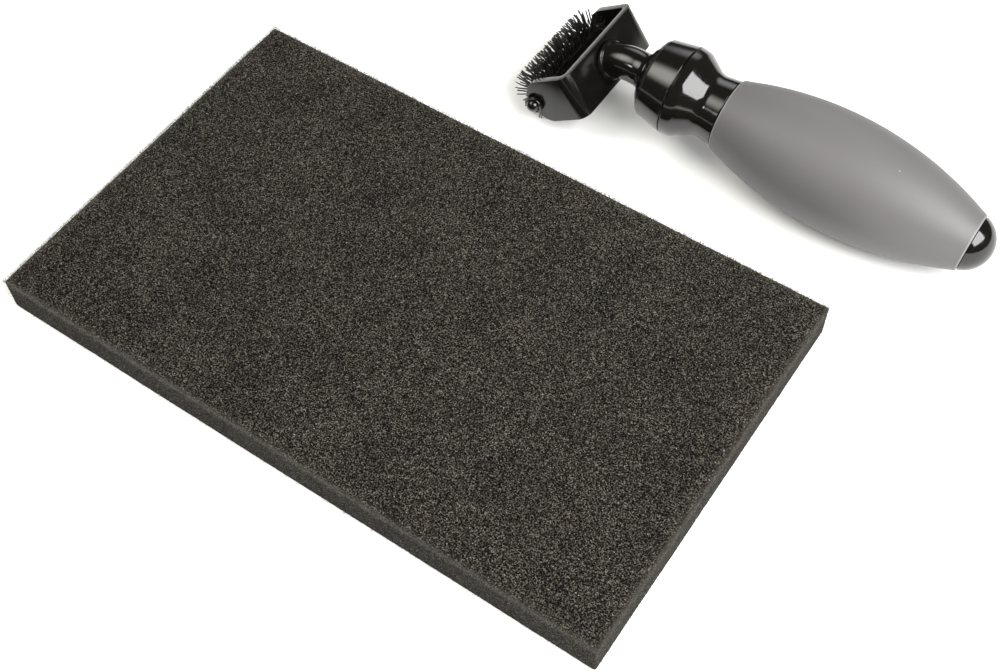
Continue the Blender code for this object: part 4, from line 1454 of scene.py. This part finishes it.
class BRUSHSET_OT_bristles(bpy.types.Operator):
    """Set the rows of splayed nylon filaments into the roller"""

    bl_idname = "brushset.bristles"
    bl_label = "Bristle rows"

    def execute(self, context):
        settings = context.scene.brushset_roller
        nylon = nylon_filament(settings)
        pattern = self.filament()
        axle = Vector(JOINTS["roller_spin"]["pos_m"])
        across = Vector(JOINTS["roller_spin"]["axis"]).normalized()
        start, end, _ = reach_of("roller_core", axle_place())
        for row in range(1, BRISTLE_ROWS + 1):
            node = f"bristle_row_{row:02d}"
            low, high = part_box(node)
            out = ((low + high) / 2.0 - axle).normalized()
            rng = np.random.default_rng(100 + row)
            points, faces = self.row(settings, pattern, start, end, rng)
            piece = mesh_piece(f"filaments_{row:02d}", points, faces)
            place = placed(across, out.cross(across), axle)
            settle(piece, place, "roller", nylon, [node], 50.0)
        return {"FINISHED"}

    def filament(self):
        """One filament along Z, of unit length and unit radius: hexagonal, with a blunt tip."""
        start_clear()
        bpy.ops.mesh.primitive_cylinder_add(
            vertices=6, radius=1.0, depth=0.25, location=(0.0, 0.0, 0.125)
        )
        piece = bpy.context.object
        bpy.ops.object.transform_apply(location=True, rotation=True, scale=True)
        bpy.ops.object.mode_set(mode="EDIT")
        select_where(piece, "FACE", lambda middle, normal: normal.z > 0.9)
        for step, share in ((0.25, 0.99), (0.25, 0.97), (0.22, 0.95), (0.03, 0.6)):
            bpy.ops.mesh.extrude_region_move(TRANSFORM_OT_translate={"value": (0, 0, step)})
            bpy.ops.transform.resize(value=(share, share, 1.0))
        bpy.ops.object.mode_set(mode="OBJECT")
        return take_apart(piece)

    def row(self, settings, pattern, start, end, rng):
        """One row, standing on Z from the axle's line: tufts of filaments that lean apart."""
        slots = 2 * settings.tufts + 1
        width = (end - start) / slots
        root = ROLLER_RADIUS - 0.35 * MM
        tuft_x = start + (2.0 * np.arange(settings.tufts) + 1.5) * width
        count = settings.tufts * settings.filaments
        x = np.repeat(tuft_x, settings.filaments) + rng.normal(scale=0.12 * MM, size=count)
        side = np.tile(np.linspace(-1.0, 1.0, settings.filaments), settings.tufts)
        y = side * 0.17 * MM + rng.normal(scale=0.05 * MM, size=count)
        lean_x = side * rng.choice([-1.0, 1.0], count) * settings.splay * 0.7
        lean_x = lean_x + rng.normal(scale=settings.splay * 0.4, size=count)
        # the filaments nearest the near arm lean out past the rest
        share_along = np.maximum((x - (start + end) / 2.0) / ((end - start) / 2.0), 0.0)
        lean_x = lean_x + radians(14.0) * share_along**4
        lean_y = side * settings.splay * 0.45 + rng.normal(scale=settings.splay * 0.5, size=count)
        room = 0.5 * MM
        length = BRISTLE_TIP_RADIUS - root - rng.uniform(0.0, 0.5, count) * MM
        tip_x = np.clip(x + length * np.tan(lean_x), start + room - MM, end - room + MM)
        lean_x = np.arctan((tip_x - x) / length)
        curl = rng.normal(scale=0.16 * MM, size=(count, 2))
        points, faces = pattern
        placed_points = np.empty((count, len(points), 3))
        for index in range(count):
            share = points[:, 2]
            radius = settings.filament_radius * (1.0 + 0.08 * sin(index))
            rise = root + share * length[index] * cos(lean_y[index])
            bend = share**2
            placed_points[index, :, 0] = (
                x[index] + points[:, 0] * radius + share * length[index] * np.tan(lean_x[index])
                + bend * curl[index, 0]
            )
            placed_points[index, :, 1] = (
                y[index] + points[:, 1] * radius + share * length[index] * np.tan(lean_y[index])
                + bend * curl[index, 1]
            )
            placed_points[index, :, 2] = rise
        flat = placed_points.reshape(-1, 3)
        flat[:, 0] = np.clip(flat[:, 0], start - 0.2 * MM, end + 0.2 * MM)
        radial = np.hypot(flat[:, 1], flat[:, 2])
        over = np.maximum(radial / BRISTLE_TIP_RADIUS, 1.0)
        flat[:, 1:] /= over[:, None]
        shift = np.arange(count)[:, None, None] * len(points)
        return flat, (faces[None, :, :] + shift).reshape(-1, 3)


class BRUSHSET_OT_fittings(bpy.types.Operator):
    """Give the inner metal fittings their plating"""

    bl_idname = "brushset.fittings"
    bl_label = "Inner fittings"

    def execute(self, context):
        zinc = zinc_plate()
        names = ("collet", "clamp_ring", "neck_washer", "neck_screw", "thrust_washer_near",
                 "thrust_washer_far")
        for name in names:
            node = frame["nodes"][name]
            for slot in node.material_slots:
                slot.material = zinc
        return {"FINISHED"}


# ---- studio ------------------------------------------------------------------------------------


def softbox(name, direction, distance, size, power, tint, aim, soft=False):
    """An area light that stands in a direction from the aim point and faces it.

    A soft one is a round patch that fades out toward its rim.
    """
    light = bpy.data.lights.new(name, "AREA")
    light.shape = "RECTANGLE"
    light.size, light.size_y = size
    light.energy = power
    light.color = tint
    lamp = bpy.data.objects.new(name, light)
    bpy.context.collection.objects.link(lamp)
    away = Vector(direction).normalized()
    lamp.location = aim + away * distance
    lamp.rotation_euler = away.to_track_quat("Z", "Y").to_euler()
    lamp.visible_camera = False
    if soft:
        # the lamp's own square runs from 0 to 1 both ways
        light.use_nodes = True
        tree = light.node_tree
        place = add_node(tree, "ShaderNodeNewGeometry").outputs["Parametric"]
        from_middle = add_node(
            tree, "ShaderNodeVectorMath", {"operation": "DISTANCE", 1: (0.5, 0.5, 0.0)},
            {0: place},
        ).outputs["Value"]
        fade = add_node(
            tree, "ShaderNodeMapRange",
            {"interpolation_type": "SMOOTHSTEP", "From Min": 0.08, "From Max": 0.5,
             "To Min": 2.4, "To Max": 0.0}, {"Value": from_middle},
        ).outputs["Result"]
        tree.links.new(fade, tree.nodes["Emission"].inputs["Strength"])
    return lamp


class BRUSHSET_OT_studio(bpy.types.Operator):
    """Lay the floor and set up the soft lights and the camera"""

    bl_idname = "brushset.studio"
    bl_label = "Studio"

    def execute(self, context):
        settings = context.scene.brushset_studio
        scene = context.scene
        low, high = CAD_BOX
        middle = (Vector(low) + Vector(high)) / 2.0
        start_clear()
        floor_radius, rim, below_part = 2.2, 0.4, 0.05 * MM
        bpy.ops.mesh.primitive_circle_add(
            vertices=96, radius=floor_radius, fill_type="NGON",
            location=(middle.x, middle.y, -below_part),
        )
        floor = context.object
        floor.name = "studio_floor"
        bpy.ops.object.mode_set(mode="EDIT")
        bpy.ops.mesh.select_all(action="SELECT")
        bpy.ops.mesh.inset(thickness=rim)
        bpy.ops.object.mode_set(mode="OBJECT")
        bpy.ops.object.transform_apply(location=True, rotation=True, scale=True)
        floor.data.materials.append(matt_paper(settings.floor_colour))

        white, warm = (1.0, 1.0, 1.0), (1.0, 0.98, 0.9)
        softbox("key_softbox", (0.72, -0.05, 0.69), 1.0, (0.8, 0.72), 22.5, white, middle)
        softbox("fill_softbox", (-0.5, -0.3, 0.8), 1.1, (1.1, 1.1), 10.0, warm, middle, soft=True)
        softbox("back_softbox", (-0.2, 0.85, 0.5), 1.1, (1.0, 0.8), 2.5, white, middle, soft=True)
        softbox("small_lamp", (-0.28, -0.76, 0.58), 0.9, (0.17, 0.17), 0.9, white, middle, soft=True)

        # the room is pale to matt surfaces and dim to glossy ones, as if hung with dark cloth
        world = bpy.data.worlds.new("studio_surround")
        world.use_nodes = True
        tree = world.node_tree
        rays = add_node(tree, "ShaderNodeLightPath")
        dim = add_node(
            tree, "ShaderNodeMapRange", {"To Min": 0.4, "To Max": 0.07},
            {"Value": rays.outputs["Is Glossy Ray"]},
        ).outputs["Result"]
        strength = add_node(
            tree, "ShaderNodeMath", {"operation": "MAXIMUM"},
            {0: dim, 1: rays.outputs["Is Camera Ray"]},
        ).outputs[0]
        surround = tree.nodes["Background"]
        surround.inputs["Color"].default_value = colour("FFFFFF")
        tree.links.new(strength, surround.inputs["Strength"])
        scene.world = world

        camera = bpy.data.cameras.new("studio_camera")
        camera.lens = settings.lens
        camera.sensor_width = 36.0
        camera.clip_start = 0.01
        camera.clip_end = 50.0
        stand = bpy.data.objects.new("studio_camera", camera)
        context.collection.objects.link(stand)
        across = settings.camera_azimuth
        rise = settings.camera_elevation
        back = Vector((sin(across) * cos(rise), -cos(across) * cos(rise), sin(rise)))
        right = Vector((0.0, 0.0, 1.0)).cross(back).normalized()
        up = back.cross(right)
        turned_right = right * cos(settings.camera_roll) + up * sin(settings.camera_roll)
        turned_up = up * cos(settings.camera_roll) - right * sin(settings.camera_roll)
        matrix = Matrix((turned_right, turned_up, back)).transposed().to_4x4()
        matrix.translation = Vector(settings.camera_place)
        stand.matrix_world = matrix
        scene.camera = stand
        scene.view_settings.view_transform = "Standard"
        return {"FINISHED"}


# ---- panel and registration --------------------------------------------------------------------

STEPS = (
    BRUSHSET_OT_foam_pad,
    BRUSHSET_OT_grip,
    BRUSHSET_OT_handle_core,
    BRUSHSET_OT_end_cap,
    BRUSHSET_OT_collar,
    BRUSHSET_OT_neck,
    BRUSHSET_OT_bracket,
    BRUSHSET_OT_axle,
    BRUSHSET_OT_roller,
    BRUSHSET_OT_bristles,
    BRUSHSET_OT_fittings,
    BRUSHSET_OT_studio,
)
GROUPS = {
    "brushset_foam": FoamSettings,
    "brushset_handle": HandleSettings,
    "brushset_roller": RollerSettings,
    "brushset_bracket": BracketSettings,
    "brushset_studio": StudioSettings,
}


class BRUSHSET_PT_panel(bpy.types.Panel):
    """The settings and steps of the brush set"""

    bl_idname = "BRUSHSET_PT_panel"
    bl_label = "Brush set"
    bl_space_type = "VIEW_3D"
    bl_region_type = "UI"
    bl_category = "Brush set"

    def draw(self, context):
        for holder, group in GROUPS.items():
            box = self.layout.box()
            for name in group.__annotations__:
                box.prop(getattr(context.scene, holder), name)
        for step in STEPS:
            self.layout.operator(step.bl_idname)


def register():
    """Register the settings, the steps and the panel."""
    for holder, group in GROUPS.items():
        bpy.utils.register_class(group)
        setattr(bpy.types.Scene, holder, bpy.props.PointerProperty(type=group))
    for step in STEPS:
        bpy.utils.register_class(step)
    bpy.utils.register_class(BRUSHSET_PT_panel)


def unregister():
    """Take everything back out, last in first out."""
    bpy.utils.unregister_class(BRUSHSET_PT_panel)
    for step in reversed(STEPS):
        bpy.utils.unregister_class(step)
    for holder, group in reversed(GROUPS.items()):
        delattr(bpy.types.Scene, holder)
        bpy.utils.unregister_class(group)


def main():
    """Make every piece in order."""
    register()
    for step in STEPS:
        group, name = step.bl_idname.split(".")
        getattr(getattr(bpy.ops, group), name)()
    start_clear()


if __name__ == "__main__":
    main()
